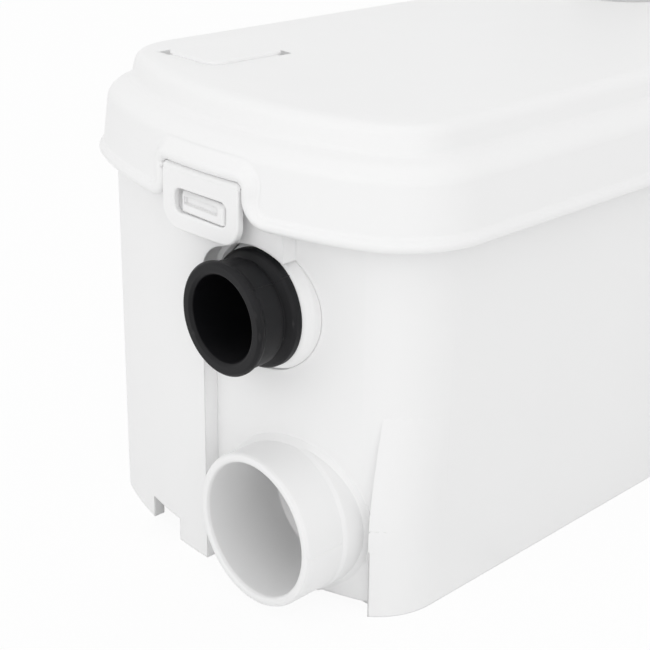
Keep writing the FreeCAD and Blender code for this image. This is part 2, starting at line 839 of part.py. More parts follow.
def make_dampers():
    """Three rubber feet between the strainer and the floor of the sump."""
    feet = []
    for i in range(3):
        angle = math.radians(90 + 120 * i)
        reach = strainer_radius - damper_radius
        centre = pump_spot(sump_z) + Vector(reach * math.cos(angle), reach * math.sin(angle), 0)
        foot = turned([(0, 0), (0, damper_radius), (1, damper_radius - 1), (damper_height - 1, damper_radius - 1),
                       (damper_height, damper_radius), (damper_height, 0)], centre, UP)
        feet.append(foot)
    return Part.makeCompound(feet)


def make_strainer():
    """Slotted basket under the pump: a floor plate and a ring wall with upright slots."""
    outer = rod(strainer_radius, pump_spot(strainer_z), strainer_height)
    inner = rod(strainer_radius - 2.4, pump_spot(strainer_z + 2.2), strainer_height)
    basket = outer.cut(inner)
    for i in range(strainer_slots):
        angle = 360 * (i + 0.5) / strainer_slots
        slot = box(pump_x + strainer_radius - 8, pump_x + strainer_radius + 5, pump_y - strainer_slot_width / 2,
                   pump_y + strainer_slot_width / 2, strainer_z + 2.2, strainer_z + strainer_height - 1.6)
        slot.rotate(pump_spot(0), UP, angle)
        basket = basket.cut(slot)
    return basket


def spiral(grow, z):
    """Volute outline: four quarter arcs whose radius grows towards the spout."""
    edges = []
    start_angle = -90
    step = volute_growth / 4
    radius = volute_radius + grow
    centre = pump_spot(z)
    for i in range(4):
        a0 = math.radians(start_angle + 90 * i)
        a1 = math.radians(start_angle + 90 * (i + 1))
        am = (a0 + a1) / 2
        start = centre + Vector(radius * math.cos(a0), radius * math.sin(a0), 0)
        middle = centre + Vector(radius * math.cos(am), radius * math.sin(am), 0)
        end = centre + Vector(radius * math.cos(a1), radius * math.sin(a1), 0)
        edges.append(Part.Arc(start, middle, end).toShape())
        if i < 3:
            shift = Vector(step * math.cos(a1), step * math.sin(a1), 0)
            centre = centre - shift
            radius = radius + step
    first = edges[0].Vertexes[0].Point
    last = edges[-1].Vertexes[1].Point
    if first.distanceToPoint(last) > 0.001:
        edges.append(Part.makeLine(last, first))
    return Part.Wire(edges)


def make_volute():
    """Pump casing: spiral chamber, eye below, spout along +X and a flange for the motor."""
    casing = Part.Face(spiral(volute_wall, volute_z)).extrude(Vector(0, 0, volute_height - flange_thickness))
    rim = rod(flange_radius, pump_spot(volute_top_z - flange_thickness), flange_thickness)
    spout = rod(spout_radius, Vector(pump_x, spout_y, spout_z), spout_end_x - pump_x, ALONG)
    casing = casing.fuse(rim).fuse(spout)
    chamber = rod(impeller_radius + 3, pump_spot(chamber_z), volute_height)
    casing = casing.cut(chamber)
    casing = casing.cut(rod(eye_radius, pump_spot(volute_z - 1), volute_height))
    casing = casing.cut(rod(spout_bore_radius, Vector(pump_x, spout_y, spout_z), spout_end_x, ALONG))
    for place in screw_places():
        casing = casing.cut(rod(screw_radius, place + Vector(0, 0, volute_top_z - flange_thickness - 1), 30))
    return casing.removeSplitter()


def screw_places():
    """Plan places of the screws that hold the motor to the volute."""
    places = []
    for i in range(pump_screw_count):
        angle = math.radians(45 + 360 * i / pump_screw_count)
        reach = flange_radius - screw_head_radius - 0.6
        places.append(Vector(pump_x + reach * math.cos(angle), pump_y + reach * math.sin(angle), 0))
    return places


def make_impeller():
    """Open impeller: hub, back disc and swept blades facing the eye."""
    disc_z = impeller_z + impeller_blade_height
    disc = rod(impeller_radius, pump_spot(disc_z), impeller_disc)
    hub = rod(shaft_radius + 3.5, pump_spot(impeller_z), impeller_blade_height + impeller_disc + 2)
    body = disc.fuse(hub)
    for i in range(impeller_blades):
        start = 360 * i / impeller_blades
        bow = impeller_radius * 0.9
        ring = pipe(bow + impeller_blade_thickness / 2, bow - impeller_blade_thickness / 2,
                    Vector(pump_x, pump_y + bow, impeller_z), impeller_blade_height + 0.5)
        blade = ring.common(rod(impeller_radius - 0.5, pump_spot(impeller_z), impeller_blade_height + 0.5))
        blade = blade.common(box(pump_x, pump_x + 2 * impeller_radius, pump_y - 1, pump_y + 2 * impeller_radius,
                                 impeller_z, impeller_z + impeller_blade_height + 0.5))
        blade.rotate(pump_spot(0), UP, start)
        body = body.fuse(blade)
    body = body.cut(rod(shaft_radius, pump_spot(impeller_z - 5), 60))
    return body.removeSplitter()


def make_impeller_nut():
    """Hexagon nut that holds the impeller on the shaft."""
    corners = []
    for i in range(7):
        angle = math.radians(60 * i)
        corners.append(pump_spot(impeller_z - nut_height) + Vector(nut_radius * math.cos(angle),
                                                                   nut_radius * math.sin(angle), 0))
    nut = Part.Face(Part.makePolygon(corners)).extrude(Vector(0, 0, nut_height))
    return nut.cut(rod(shaft_radius - 1.5, pump_spot(impeller_z - nut_height - 1), nut_height + 2))


def make_shaft():
    """Stepped motor shaft from the impeller nut up to the top bearing."""
    thread = rod(shaft_radius - 1.5, pump_spot(impeller_z - nut_height), nut_height)
    body = rod(shaft_radius, pump_spot(impeller_z), bearing_high_z + bearing_height - impeller_z)
    return thread.fuse(body)


def make_motor_housing():
    """Sealed motor can with a flange, upright ribs and bearing and seal seats."""
    flange = rod(flange_radius, pump_spot(motor_z), flange_thickness)
    can = rod(motor_radius, pump_spot(motor_z), motor_height)
    body = flange.fuse(can)
    for i in range(motor_ribs):
        rib = box(pump_x + motor_radius - 1, pump_x + motor_radius + motor_rib_depth, pump_y - motor_rib_width / 2,
                  pump_y + motor_rib_width / 2, motor_z, motor_top_z - 6)
        rib.rotate(pump_spot(0), UP, 360 * (i + 0.5) / motor_ribs)
        body = body.fuse(rib)
    hollow_z = bearing_low_z + bearing_height
    body = body.cut(rod(motor_radius - motor_wall, pump_spot(hollow_z), motor_height))
    body = body.cut(rod(bearing_outer_radius, pump_spot(bearing_low_z), bearing_height + 1))
    body = body.cut(rod(seal_ring_radius, pump_spot(motor_z - 1), seal_ring_height + 1))
    body = body.cut(rod(shaft_radius + 0.6, pump_spot(motor_z - 1), motor_height))
    for place in screw_places():
        body = body.cut(rod(screw_radius, place + Vector(0, 0, motor_z - 1), flange_thickness + 2))
        body = body.cut(rod(screw_head_radius + 0.2, place + Vector(0, 0, motor_z + flange_thickness), 30))
    return body.removeSplitter()


def make_motor_cap():
    """Domed cap of the motor can with the seat of the top bearing and the lead boss."""
    low = motor_top_z
    outer = motor_radius
    dome = turned([(0, 0), (0, outer), (3, outer), (motor_cap_height - 2, outer - 8), (motor_cap_height, outer - 16),
                   (motor_cap_height, 0)], pump_spot(low), UP)
    seat_low = bearing_high_z
    spider = rod(motor_radius - motor_wall - 0.1, pump_spot(low - 4), 4)
    seat = rod(bearing_outer_radius + 3, pump_spot(seat_low), low - seat_low)
    body = fused([dome, spider, seat])
    body = body.cut(rod(bearing_outer_radius, pump_spot(seat_low - 1), bearing_height + 1))
    body = body.fuse(rod(lead_radius + 2.4, lead_start() - Vector(0, 0, 6), 6))
    return body.cut(rod(lead_radius, lead_start() - Vector(0, 0, 5), 10))


def lead_start():
    """Where the motor lead leaves the cap."""
    return Vector(pump_x + 6, pump_y + motor_radius - 20, motor_top_z + motor_cap_height + 2)


def make_stator():
    """Stator pack with winding heads standing above and below."""
    outer = motor_radius - motor_wall - hole_clearance
    pack = pipe(outer, stator_inner_radius, pump_spot(stator_z), stator_height)
    for z in (stator_z - 5, stator_z + stator_height):
        pack = pack.fuse(pipe(outer - 5, stator_inner_radius + 3, pump_spot(z), 5))
    return pack.removeSplitter()


def make_rotor():
    """Rotor pack on the shaft."""
    return pipe(stator_inner_radius - air_gap, shaft_radius, pump_spot(stator_z + 1), stator_height - 2)


def make_bearing(z):
    """Shielded ball bearing drawn as one ring."""
    ring = pipe(bearing_outer_radius, shaft_radius + hole_clearance, pump_spot(z), bearing_height)
    for face in (z - 1, z + bearing_height - 0.6):
        ring = ring.cut(pipe(bearing_outer_radius - 2.5, shaft_radius + 2.2, pump_spot(face), 1.6))
    return ring


def make_shaft_seal():
    """Lip seal between pump and motor."""
    return turned([(0, shaft_radius + moving_gap), (0, seal_ring_radius), (seal_ring_height, seal_ring_radius),
                   (seal_ring_height, shaft_radius + 2.5), (2, shaft_radius + 2.5), (1.4, shaft_radius + moving_gap)],
                  pump_spot(motor_z), UP)


def make_pump_screws():
    """Screws through the motor's flange into the volute."""
    screws = []
    for place in screw_places():
        top = motor_z + flange_thickness
        stem = rod(screw_radius, place + Vector(0, 0, volute_top_z - flange_thickness), top - volute_top_z + flange_thickness)
        head = rod(screw_head_radius, place + Vector(0, 0, top), screw_head_height)
        slot = box(place.x - screw_head_radius, place.x + screw_head_radius, place.y - 0.5, place.y + 0.5,
                   top + screw_head_height - 1.2, top + screw_head_height + 1)
        screws.append(stem.fuse(head).cut(slot))
    return Part.makeCompound(screws)


def make_coupling():
    """Rubber coupling between the spout and the discharge pipe."""
    start = spout_end_x - coupling_length / 2
    return pipe(spout_radius + coupling_wall, spout_radius, Vector(start, spout_y, spout_z), coupling_length, ALONG)


def make_clamps():
    """Worm-drive clamps on the coupling's two ends."""
    inner = spout_radius + coupling_wall
    clamps = []
    for side in (-1, 1):
        x = spout_end_x + side * (coupling_length / 2 - clamp_width / 2 - 1.5) - clamp_width / 2
        band = pipe(inner + clamp_thickness, inner, Vector(x, spout_y, spout_z), clamp_width, ALONG)
        housing = box(x, x + clamp_width, spout_y - 5, spout_y + 5, spout_z + inner + clamp_thickness - 0.3,
                      spout_z + inner + clamp_thickness + 3)
        screw = rod(clamp_screw_radius, Vector(x + clamp_width / 2, spout_y - 7,
                                               spout_z + inner + clamp_thickness + 3), 14, ACROSS)
        clamps.append(fused([band, housing, screw]))
    return Part.makeCompound(clamps)


def quarter_bend(radius, start, direction, pivot, axis):
    """Quarter turn of a round bar that leaves start along direction, about the bend's pivot."""
    ring = Part.Face(Part.Wire(Part.makeCircle(radius, start, direction)))
    return ring.revolve(pivot, axis, 90)


def make_discharge_pipe():
    """Pipe from the coupling along +X, then up to the non-return valve."""
    start = Vector(spout_end_x, spout_y, spout_z)
    turn = Vector(discharge_x - bend_radius, discharge_y, spout_z)
    pivot = turn + Vector(0, 0, bend_radius)
    rise = pivot + Vector(bend_radius, 0, 0)
    solids = []
    for radius in (spout_radius, spout_bore_radius):
        run = rod(radius, start, turn.x - start.x, ALONG)
        bend = quarter_bend(radius, turn, ALONG, pivot, Vector(0, -1, 0))
        top = rod(radius, rise, valve_z - rise.z)
        solids.append(fused([run, bend, top]))
    return solids[0].cut(solids[1])


def valve_spot(z):
    """Point on the riser's axis."""
    return Vector(discharge_x, discharge_y, z)


def valve_pin_place():
    """X and Z of the discharge flap's hinge pin."""
    x = discharge_x - valve_inner_radius + 2.6
    z = valve_z + valve_seat_height + moving_gap + valve_flap_thickness + 1.0
    return x, z


def make_valve_body():
    """Non-return valve housing with its seat, and the riser with the socket for the elbow."""
    top = valve_z + valve_height
    riser_top = shoulder_z - riser_top_gap
    socket_z = riser_top - riser_socket_depth
    socket = elbow_radius + elbow_clearance
    points = [
        (0, valve_seat_bore_radius),
        (0, valve_radius),
        (valve_height - 3, valve_radius),
        (valve_height, socket + 2.4),
        (riser_top - valve_z, socket + 2.4),
        (riser_top - valve_z, socket),
        (socket_z - valve_z, socket),
        (socket_z - valve_z, elbow_bore_radius),
        (valve_height - 2, elbow_bore_radius),
        (valve_height - 5, valve_inner_radius),
        (valve_seat_height, valve_inner_radius),
        (valve_seat_height, valve_seat_bore_radius),
    ]
    body = turned(points, valve_spot(valve_z), UP)
    x, z = valve_pin_place()
    lugs = []
    for side in (-1, 1):
        near = discharge_y + side * 4.3
        lugs.append(box(x - 4, x + 1.6, near, near + side * 2.4, valve_z + valve_seat_height - 0.5, z + 1.6))
    body = fused([body] + [lug.common(rod(valve_radius - 0.5, valve_spot(valve_z), top - valve_z)) for lug in lugs])
    return body.cut(rod(valve_pin_radius, Vector(x, discharge_y - 6.7, z), 13.4, ACROSS)).removeSplitter()


def make_valve_flap():
    """Discharge flap: a disc over the seat with its hinge barrel."""
    x, z = valve_pin_place()
    low = valve_z + valve_seat_height + moving_gap
    disc = rod(valve_flap_radius, valve_spot(low), valve_flap_thickness)
    neck = box(x, discharge_x - valve_flap_radius + 5, discharge_y - 4, discharge_y + 4, low, low + valve_flap_thickness)
    barrel = rod(1.9, Vector(x, discharge_y - 4, z), 8, ACROSS)
    post = box(x - 1.2, x + 1.2, discharge_y - 4, discharge_y + 4, low + 0.4, z)
    body = fused([disc, neck, barrel, post])
    return body.cut(rod(valve_pin_radius + pin_clearance, Vector(x, discharge_y - 10, z), 20, ACROSS))


def make_valve_pin():
    """Hinge pin of the discharge flap."""
    x, z = valve_pin_place()
    return rod(valve_pin_radius, Vector(x, discharge_y - 6.7, z), 13.4, ACROSS)


def make_elbow():
    """Discharge elbow: tail in the riser's socket, flange on the grommet, bend and spigot to +Y."""
    riser_top = shoulder_z - riser_top_gap
    tail_z = riser_top - riser_socket_depth + elbow_tail_gap
    bend_z = crown_z + elbow_rise
    start = valve_spot(tail_z)
    rise = valve_spot(bend_z)
    pivot = rise + Vector(0, elbow_bend_radius, 0)
    turn = pivot + Vector(0, 0, elbow_bend_radius)
    solids = []
    for radius in (elbow_radius, elbow_bore_radius):
        tail = rod(radius, start, bend_z - tail_z)
        bend = quarter_bend(radius, rise, UP, pivot, Vector(-1, 0, 0))
        spigot = rod(radius, turn, elbow_spigot_length, ACROSS)
        solids.append(fused([tail, bend, spigot]))
    flange = rod(elbow_flange_radius, valve_spot(crown_z + collar_height + grommet_lip), elbow_flange_height)
    return fused([solids[0], flange]).cut(solids[1])


def make_grommet():
    """Rubber grommet in the lid's collar, with a lip above and below."""
    hole = elbow_radius + grommet_wall + elbow_clearance
    bore = elbow_radius + elbow_clearance
    depth = lid_wall + collar_height
    points = [(-grommet_lip, bore), (-grommet_lip, hole + 1.6), (0, hole + 1.6), (0, hole), (depth, hole),
              (depth, hole + 1.6), (depth + grommet_lip, hole + 1.6), (depth + grommet_lip, bore)]
    return turned(points, valve_spot(crown_z - lid_wall), UP)


def bell_spot(z):
    """Point on the air bell's axis."""
    return Vector(bell_x, bell_y, z)


bell_top_z = sump_z + bell_height
switch_top_z = bell_top_z + switch_height


def make_bell():
    """Air bell: an upright tube with ports at its foot and a nipple under the switch."""
    body = rod(bell_radius, bell_spot(sump_z), bell_height)
    body = body.cut(rod(bell_radius - bell_wall, bell_spot(sump_z - 1), bell_height - 2))
    body = body.cut(rod(2.5, bell_spot(sump_z), bell_height + 5))
    for angle in (0, 60, 120):
        port = box(bell_x - 30, bell_x + 30, bell_y - bell_port_width / 2, bell_y + bell_port_width / 2,
                   sump_z - 1, sump_z + bell_port_height)
        port.rotate(bell_spot(0), UP, angle)
        body = body.cut(port.common(rod(bell_radius + 1, bell_spot(sump_z - 2), bell_port_height + 5)))
    return body.removeSplitter()


def make_switch_housing():
    """Two-part membrane housing drawn as one cup with its cover."""
    body = rod(switch_radius, bell_spot(bell_top_z), switch_height)
    body = body.cut(rod(switch_radius - switch_wall, bell_spot(bell_top_z + switch_wall), switch_height - 2 * switch_wall))
    body = body.cut(rod(plunger_radius + moving_gap, bell_spot(bell_top_z + switch_height / 2), switch_height))
    body = body.cut(rod(2.5, bell_spot(bell_top_z - 1), switch_height / 2))
    for i in range(6):
        angle = math.radians(60 * i)
        spot = bell_spot(bell_top_z) + Vector((switch_radius + 0.5) * math.cos(angle),
                                              (switch_radius + 0.5) * math.sin(angle), 0)
        body = body.fuse(rod(2.4, spot, switch_height))
    return body.removeSplitter()


def membrane_z():
    """Height of the membrane's lower face."""
    return bell_top_z + switch_wall + moving_gap


def make_membrane():
    """Rubber membrane disc clamped in the switch housing."""
    disc = rod(switch_radius - switch_wall - 0.02, bell_spot(membrane_z()), membrane_thickness)
    return disc


def make_plunger():
    """Plunger that the membrane lifts against the microswitch."""
    low = membrane_z() + membrane_thickness + 0.1
    foot = rod(plunger_radius + 3, bell_spot(low), 1.2)
    return foot.fuse(rod(plunger_radius, bell_spot(low), plunger_length))


def make_microswitch():
    """Microswitch block on a stirrup over the plunger."""
    low = membrane_z() + membrane_thickness + 0.1 + plunger_length + plunger_travel + moving_gap
    block = box(bell_x - microswitch_length / 2, bell_x + microswitch_length / 2, bell_y - microswitch_width / 2,
                bell_y + microswitch_width / 2, low, low + microswitch_height)
    legs = []
    for side in (-1, 1):
        edge = bell_x + side * microswitch_length / 2
        legs.append(box(edge - side * 4, edge, bell_y - microswitch_width / 2, bell_y + microswitch_width / 2,
                        switch_top_z, low + 1))
    return fused([block] + legs)


def junction_back_y():
    """Y of the junction box's back face, on the tank's two posts."""
    return box_front_y + box_depth


def make_junction_box():
    """Open-fronted box on the back wall's posts."""
    body = box(box_x - box_length / 2, box_x + box_length / 2, box_front_y + box_wall, junction_back_y(),
               box_z, box_z + box_height)
    body = body.cut(box(box_x - box_length / 2 + box_wall, box_x + box_length / 2 - box_wall, box_front_y - 1,
                        junction_back_y() - box_wall, box_z + box_wall, box_z + box_height - box_wall))
    body = body.cut(rod(gland_radius + hole_clearance, Vector(gland_x, box_front_y, gland_z), 60, ACROSS))
    return body.cut(rod(lead_radius, lead_end() - Vector(0, 0, 10), 20))


def make_junction_cover():
    """Cover plate of the junction box."""
    return box(box_x - box_length / 2, box_x + box_length / 2, box_front_y, box_front_y + box_wall,
               box_z, box_z + box_height)


def make_capacitor():
    """Run capacitor lying in the junction box."""
    z = box_z + box_wall + capacitor_radius
    y = box_front_y + box_wall + capacitor_radius + 0.5
    return rod(capacitor_radius, Vector(box_x - capacitor_length / 2, y, z), capacitor_length, ALONG)


def lead_end():
    """Where the motor lead enters the junction box."""
    return Vector(pump_x + 6, box_front_y + box_depth / 2, box_z + box_height)


def make_motor_lead():
    """Short lead from the motor cap over to the junction box."""
    start = lead_start()
    end = lead_end()
    radius = lead_radius - 0.02
    low = start.z + lead_rise
    high = low + lead_bend
    first = rod(radius, start - Vector(0, 0, 4), low - start.z + 4)
    up = quarter_bend(radius, Vector(start.x, start.y, low), UP, Vector(start.x, start.y + lead_bend, low),
                      Vector(-1, 0, 0))
    run = rod(radius, Vector(start.x, start.y + lead_bend, high), end.y - start.y - 2 * lead_bend, ACROSS)
    down = quarter_bend(radius, Vector(end.x, end.y - lead_bend, high), ACROSS,
                        Vector(end.x, end.y - lead_bend, low), Vector(-1, 0, 0))
    last = rod(radius, Vector(end.x, end.y, end.z - 4), low - end.z + 4)
    return fused([first, up, run, down, last])


def gland_wall_y():
    """Y of the tank's outer back wall at the gland."""
    return half_width + tank_draft * gland_z


def make_gland():
    """Cable gland body through the back wall: thread, hexagon and nose."""
    wall = gland_wall_y()
    thread = rod(gland_radius, Vector(gland_x, junction_back_y() - 6, gland_z), wall + 2 - junction_back_y() + 6, ACROSS)
    corners = []
    for i in range(7):
        angle = math.radians(60 * i)
        corners.append(Vector(gland_x + gland_hex_radius * math.cos(angle), wall + 0.3,
                              gland_z + gland_hex_radius * math.sin(angle)))
    hexagon = Part.Face(Part.makePolygon(corners)).extrude(Vector(0, gland_hex_length, 0))
    nose = turned([(0, 0), (0, gland_radius), (gland_nose_length * 0.6, gland_radius - 0.5),
                   (gland_nose_length, gland_radius - 3), (gland_nose_length, 0)],
                  Vector(gland_x, wall + 0.3 + gland_hex_length, gland_z), ACROSS)
    body = fused([thread, hexagon, nose])
    return body.cut(rod(gland_bore_radius, Vector(gland_x, 0, gland_z), 200, ACROSS))


def make_gland_nut():
    """Lock nut of the gland inside the junction box."""
    face = junction_back_y() - box_wall
    corners = []
    for i in range(7):
        angle = math.radians(60 * i + 30)
        corners.append(Vector(gland_x + gland_hex_radius * math.cos(angle), face - 4,
                              gland_z + gland_hex_radius * math.sin(angle)))
    nut = Part.Face(Part.makePolygon(corners)).extrude(Vector(0, 4, 0))
    return nut.cut(rod(gland_radius, Vector(gland_x, 0, gland_z), 200, ACROSS))


def all_pieces():
    """Every named piece with its shape."""
    latch = make_latch()
    catch = make_catch()
    inlet = make_inlet()
    flap = make_flap()
    return {
        "tank": make_tank(),
        "lid": make_lid(),
        "rim_seal": make_rim_seal(),
        "left_latch": latch,
        "right_latch": mirrored(latch),
        "latch_pins": make_latch_pins(),
        "left_catch": catch,
        "right_catch": mirrored(catch),
        "vent_cover": make_vent_cover(),
        "vent_filter": make_filter(),
        "left_inlet": inlet,
        "right_inlet": mirrored(inlet),
        "left_inlet_flap": flap,
        "right_inlet_flap": mirrored(flap),
        "flap_pins": make_flap_pins(),
        "upper_inlet_neck": make_neck(),
        "inlet_sleeve": make_sleeve(),
        "pump_dampers": make_dampers(),
        "strainer": make_strainer(),
        "volute": make_volute(),
        "impeller": make_impeller(),
        "impeller_nut": make_impeller_nut(),
        "shaft": make_shaft(),
        "rotor": make_rotor(),
        "stator": make_stator(),
        "lower_bearing": make_bearing(bearing_low_z),
        "upper_bearing": make_bearing(bearing_high_z),
        "shaft_seal": make_shaft_seal(),
        "motor_housing": make_motor_housing(),
        "motor_cap": make_motor_cap(),
        "pump_screws": make_pump_screws(),
        "discharge_coupling": make_coupling(),
        "hose_clamps": make_clamps(),
        "discharge_pipe": make_discharge_pipe(),
        "valve_body": make_valve_body(),
        "valve_flap": make_valve_flap(),
        "valve_pin": make_valve_pin(),
        "discharge_elbow": make_elbow(),
        "elbow_grommet": make_grommet(),
        "air_bell": make_bell(),
        "switch_housing": make_switch_housing(),
        "membrane": make_membrane(),
        "switch_plunger": make_plunger(),
        "microswitch": make_microswitch(),
        "junction_box": make_junction_box(),
        "junction_cover": make_junction_cover(),
        "capacitor": make_capacitor(),
        "motor_lead": make_motor_lead(),
        "cable_gland": make_gland(),
        "gland_nut": make_gland_nut(),
    }


os.makedirs("parts", exist_ok=True)
for name, shape in all_pieces().items():
    shape.exportStep("parts/" + name + ".step")
    print(name, len(shape.Solids), "solids", round(shape.Volume), "mm3", shape.isValid())
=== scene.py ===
"""Sewage lifting unit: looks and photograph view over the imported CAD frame."""

import json
import logging
import math
from dataclasses import dataclass, replace
from enum import Enum

import bmesh
import bpy
from mathutils import Matrix, Vector


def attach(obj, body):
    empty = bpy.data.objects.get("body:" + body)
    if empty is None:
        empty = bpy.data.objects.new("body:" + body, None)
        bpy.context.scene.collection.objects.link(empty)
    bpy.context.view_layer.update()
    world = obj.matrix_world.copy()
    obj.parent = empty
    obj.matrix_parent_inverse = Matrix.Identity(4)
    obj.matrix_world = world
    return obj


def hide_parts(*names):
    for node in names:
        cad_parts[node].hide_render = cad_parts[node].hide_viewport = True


logging.basicConfig(level=logging.INFO, format="%(message)s")
log = logging.getLogger("scene")

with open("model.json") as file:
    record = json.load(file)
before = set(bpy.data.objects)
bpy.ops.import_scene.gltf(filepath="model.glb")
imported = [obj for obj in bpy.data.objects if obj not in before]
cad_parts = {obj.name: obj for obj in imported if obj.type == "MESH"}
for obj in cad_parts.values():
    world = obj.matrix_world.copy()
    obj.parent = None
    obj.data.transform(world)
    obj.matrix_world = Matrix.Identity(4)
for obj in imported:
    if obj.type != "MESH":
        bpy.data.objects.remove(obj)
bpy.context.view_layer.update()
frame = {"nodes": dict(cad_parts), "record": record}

MM = 0.001
WELD = 0.002
HAIR = 0.01
SIDE_SHARE = 0.49
QUARTER = math.pi / 2
UP = Vector((0, 0, 1))
Node = bpy.types.Node
Socket = bpy.types.NodeSocket
Tree = bpy.types.NodeTree
Material = bpy.types.Material
Piece = bpy.types.Object
Colour = tuple[float, float, float]
Pair = tuple[float, float]
Triple = tuple[float, float, float]
Value = Socket | float | tuple[float, ...]


class Body(Enum):
    """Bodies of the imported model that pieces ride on."""

    TANK = "tank"
    LID = "lid"
    LEFT_LATCH = "left_latch"
    RIGHT_LATCH = "right_latch"
    VENT_COVER = "vent_cover"


class End(Enum):
    """The two ends of the tank, with the sign of their X."""

    LEFT = -1
    RIGHT = 1

    @property
    def label(self) -> str:
        """Word for the end in names."""
        return self.name.lower()


class Effect(Enum):
    """Shared surface effects, each a node group with its inputs' starting values."""

    GRAIN = ("surface_grain", {"Grain Scale": 900.0, "Tint Scale": 9.0})
    FLOW = ("mould_flow", {"Scale": 26.0})
    EDGE = ("edge_wear", {"Break Scale": 160.0})
    SETTLED = ("settled_dust", {"Patch Scale": 40.0})
    FIBRES = ("loose_fibres", {"Cell Scale": 700.0})
    BRUSHED = ("brushed_lines", {"Line Scale": 2600.0})


class Wiring:
    """Node tree with one way to add nodes and to feed them."""

    def __init__(self, tree: Tree) -> None:
        """Starts from a tree."""
        self.tree = tree

    def feed(self, node: Node, *first: Value, **named: Value) -> None:
        """Links sockets to a node's inputs, or sets them.

        Args:
            node: The node.
            *first: What its first inputs get, in order.
            **named: What the named ones get, with underscores for spaces.
        """
        pairs = list(zip(node.inputs, first))
        pairs += [(node.inputs[key.replace("_", " ")], value) for key, value in named.items()]
        for socket, value in pairs:
            if isinstance(value, Socket):
                self.tree.links.new(value, socket)
            else:
                socket.default_value = value

    def add(self, kind: str, *first: Value, **named: Value) -> Node:
        """Adds a node and feeds it.

        Args:
            kind: Its type, after the word ShaderNode.
            *first: What its first inputs get, in order.
            **named: What the named ones get, with underscores for spaces.

        Returns:
            The node.
        """
        node = self.tree.nodes.new(f"ShaderNode{kind}")
        self.feed(node, *first, **named)
        return node

    def combine(self, operation: str, first: Value, second: Value) -> Socket:
        """Adds a calculation of two values.

        Args:
            operation: Its name.
            first: First value.
            second: Second value.

        Returns:
            The result's socket.
        """
        node = self.add("Math", first, second)
        node.operation = operation
        return node.outputs["Value"]


class EffectGroup(Wiring):
    """Node group of one effect, with short ways to add what the effects need."""

    def __init__(self, effect: Effect) -> None:
        """Makes the group with its named inputs.

        Args:
            effect: The effect.
        """
        name, inputs = effect.value
        super().__init__(bpy.data.node_groups.new(name, "ShaderNodeTree"))
        for key, value in inputs.items():
            socket = self.tree.interface.new_socket(key, in_out="INPUT", socket_type="NodeSocketFloat")
            socket.default_value = value
        self.inside = self.tree.nodes.new("NodeGroupInput").outputs

    def noise(self, scale: str, detail: float, rough: float, stretch: Triple | None = None) -> Socket:
        """Adds a noise over the object.

        Args:
            scale: Name of the group's input that gives its scale.
            detail: Noise detail.
            rough: Noise roughness.
            stretch: Scale of the coordinates, where they are stretched.

        Returns:
            The noise's socket.
        """
        place = self.add("TexCoord").outputs["Object"]
        if stretch:
            place = self.add("Mapping", Vector=place, Scale=stretch).outputs["Vector"]
        noise = self.add("TexNoise", Vector=place, Scale=self.inside[scale], Detail=detail, Roughness=rough)
        return noise.outputs["Fac"]

    def masked(self, value: Socket, start: float, end: float, noise: Socket) -> Socket:
        """Spreads a value from 0 to 1 and breaks it up by a noise.

        Args:
            value: The value.
            start: Value that becomes 0.
            end: Value that becomes 1.
            noise: The noise.

        Returns:
            The mask's socket.
        """
        ramp = self.add("MapRange", Value=value, From_Min=start, From_Max=end)
        return self.combine("MULTIPLY", ramp.outputs["Result"], noise)

    def give(self, **outputs: Socket) -> Tree:
        """Adds the group's outputs.

        Args:
            **outputs: Sockets to put out.

        Returns:
            The group's tree.
        """
        for key in outputs:
            self.tree.interface.new_socket(key, in_out="OUTPUT", socket_type="NodeSocketFloat")
        self.feed(self.tree.nodes.new("NodeGroupOutput"), **outputs)
        return self.tree


class EffectLibrary:
    """Makes each shared effect once and hands out its node group."""

    def __init__(self) -> None:
        """Starts with no group made."""
        self._made: dict[Effect, Tree] = {}

    def get(self, effect: Effect) -> Tree:
        """Gives an effect's node group, made on first use.

        Args:
            effect: The effect wanted.

        Returns:
            Its node group.
        """
        if effect not in self._made:
            self._made[effect] = self._make(effect)
        return self._made[effect]

    @staticmethod
    def _make(effect: Effect) -> Tree:
        """Makes an effect's node group.

        Args:
            effect: The effect.

        Returns:
            Its node group.
        """
        group = EffectGroup(effect)
        if effect is Effect.GRAIN:
            return group.give(Height=group.noise("Grain Scale", 5.0, 0.6), Tint=group.noise("Tint Scale", 3.0, 0.5))
        if effect is Effect.FLOW:
            return group.give(Marks=group.noise("Scale", 4.0, 0.62, (1.0, 1.0, 0.16)))
        if effect is Effect.BRUSHED:
            return group.give(Lines=group.noise("Line Scale", 2.0, 0.5, (0.03, 0.03, 1.0)))
        if effect is Effect.EDGE:
            worn = group.add("NewGeometry").outputs["Pointiness"]
            broken = group.noise("Break Scale", 3.0, 0.6)
            return group.give(Mask=group.masked(worn, 0.52, 0.62, broken))
        if effect is Effect.SETTLED:
            normal = group.add("NewGeometry").outputs["Normal"]
            facing = group.add("SeparateXYZ", Vector=normal).outputs["Z"]
            return group.give(Mask=group.masked(facing, 0.55, 1.0, group.noise("Patch Scale", 6.0, 0.65)))
        place = group.add("TexCoord").outputs["Object"]
        cells = group.add("TexVoronoi", Vector=place, Scale=group.inside["Cell Scale"])
        return group.give(Cells=cells.outputs["Distance"])


EFFECTS = EffectLibrary()


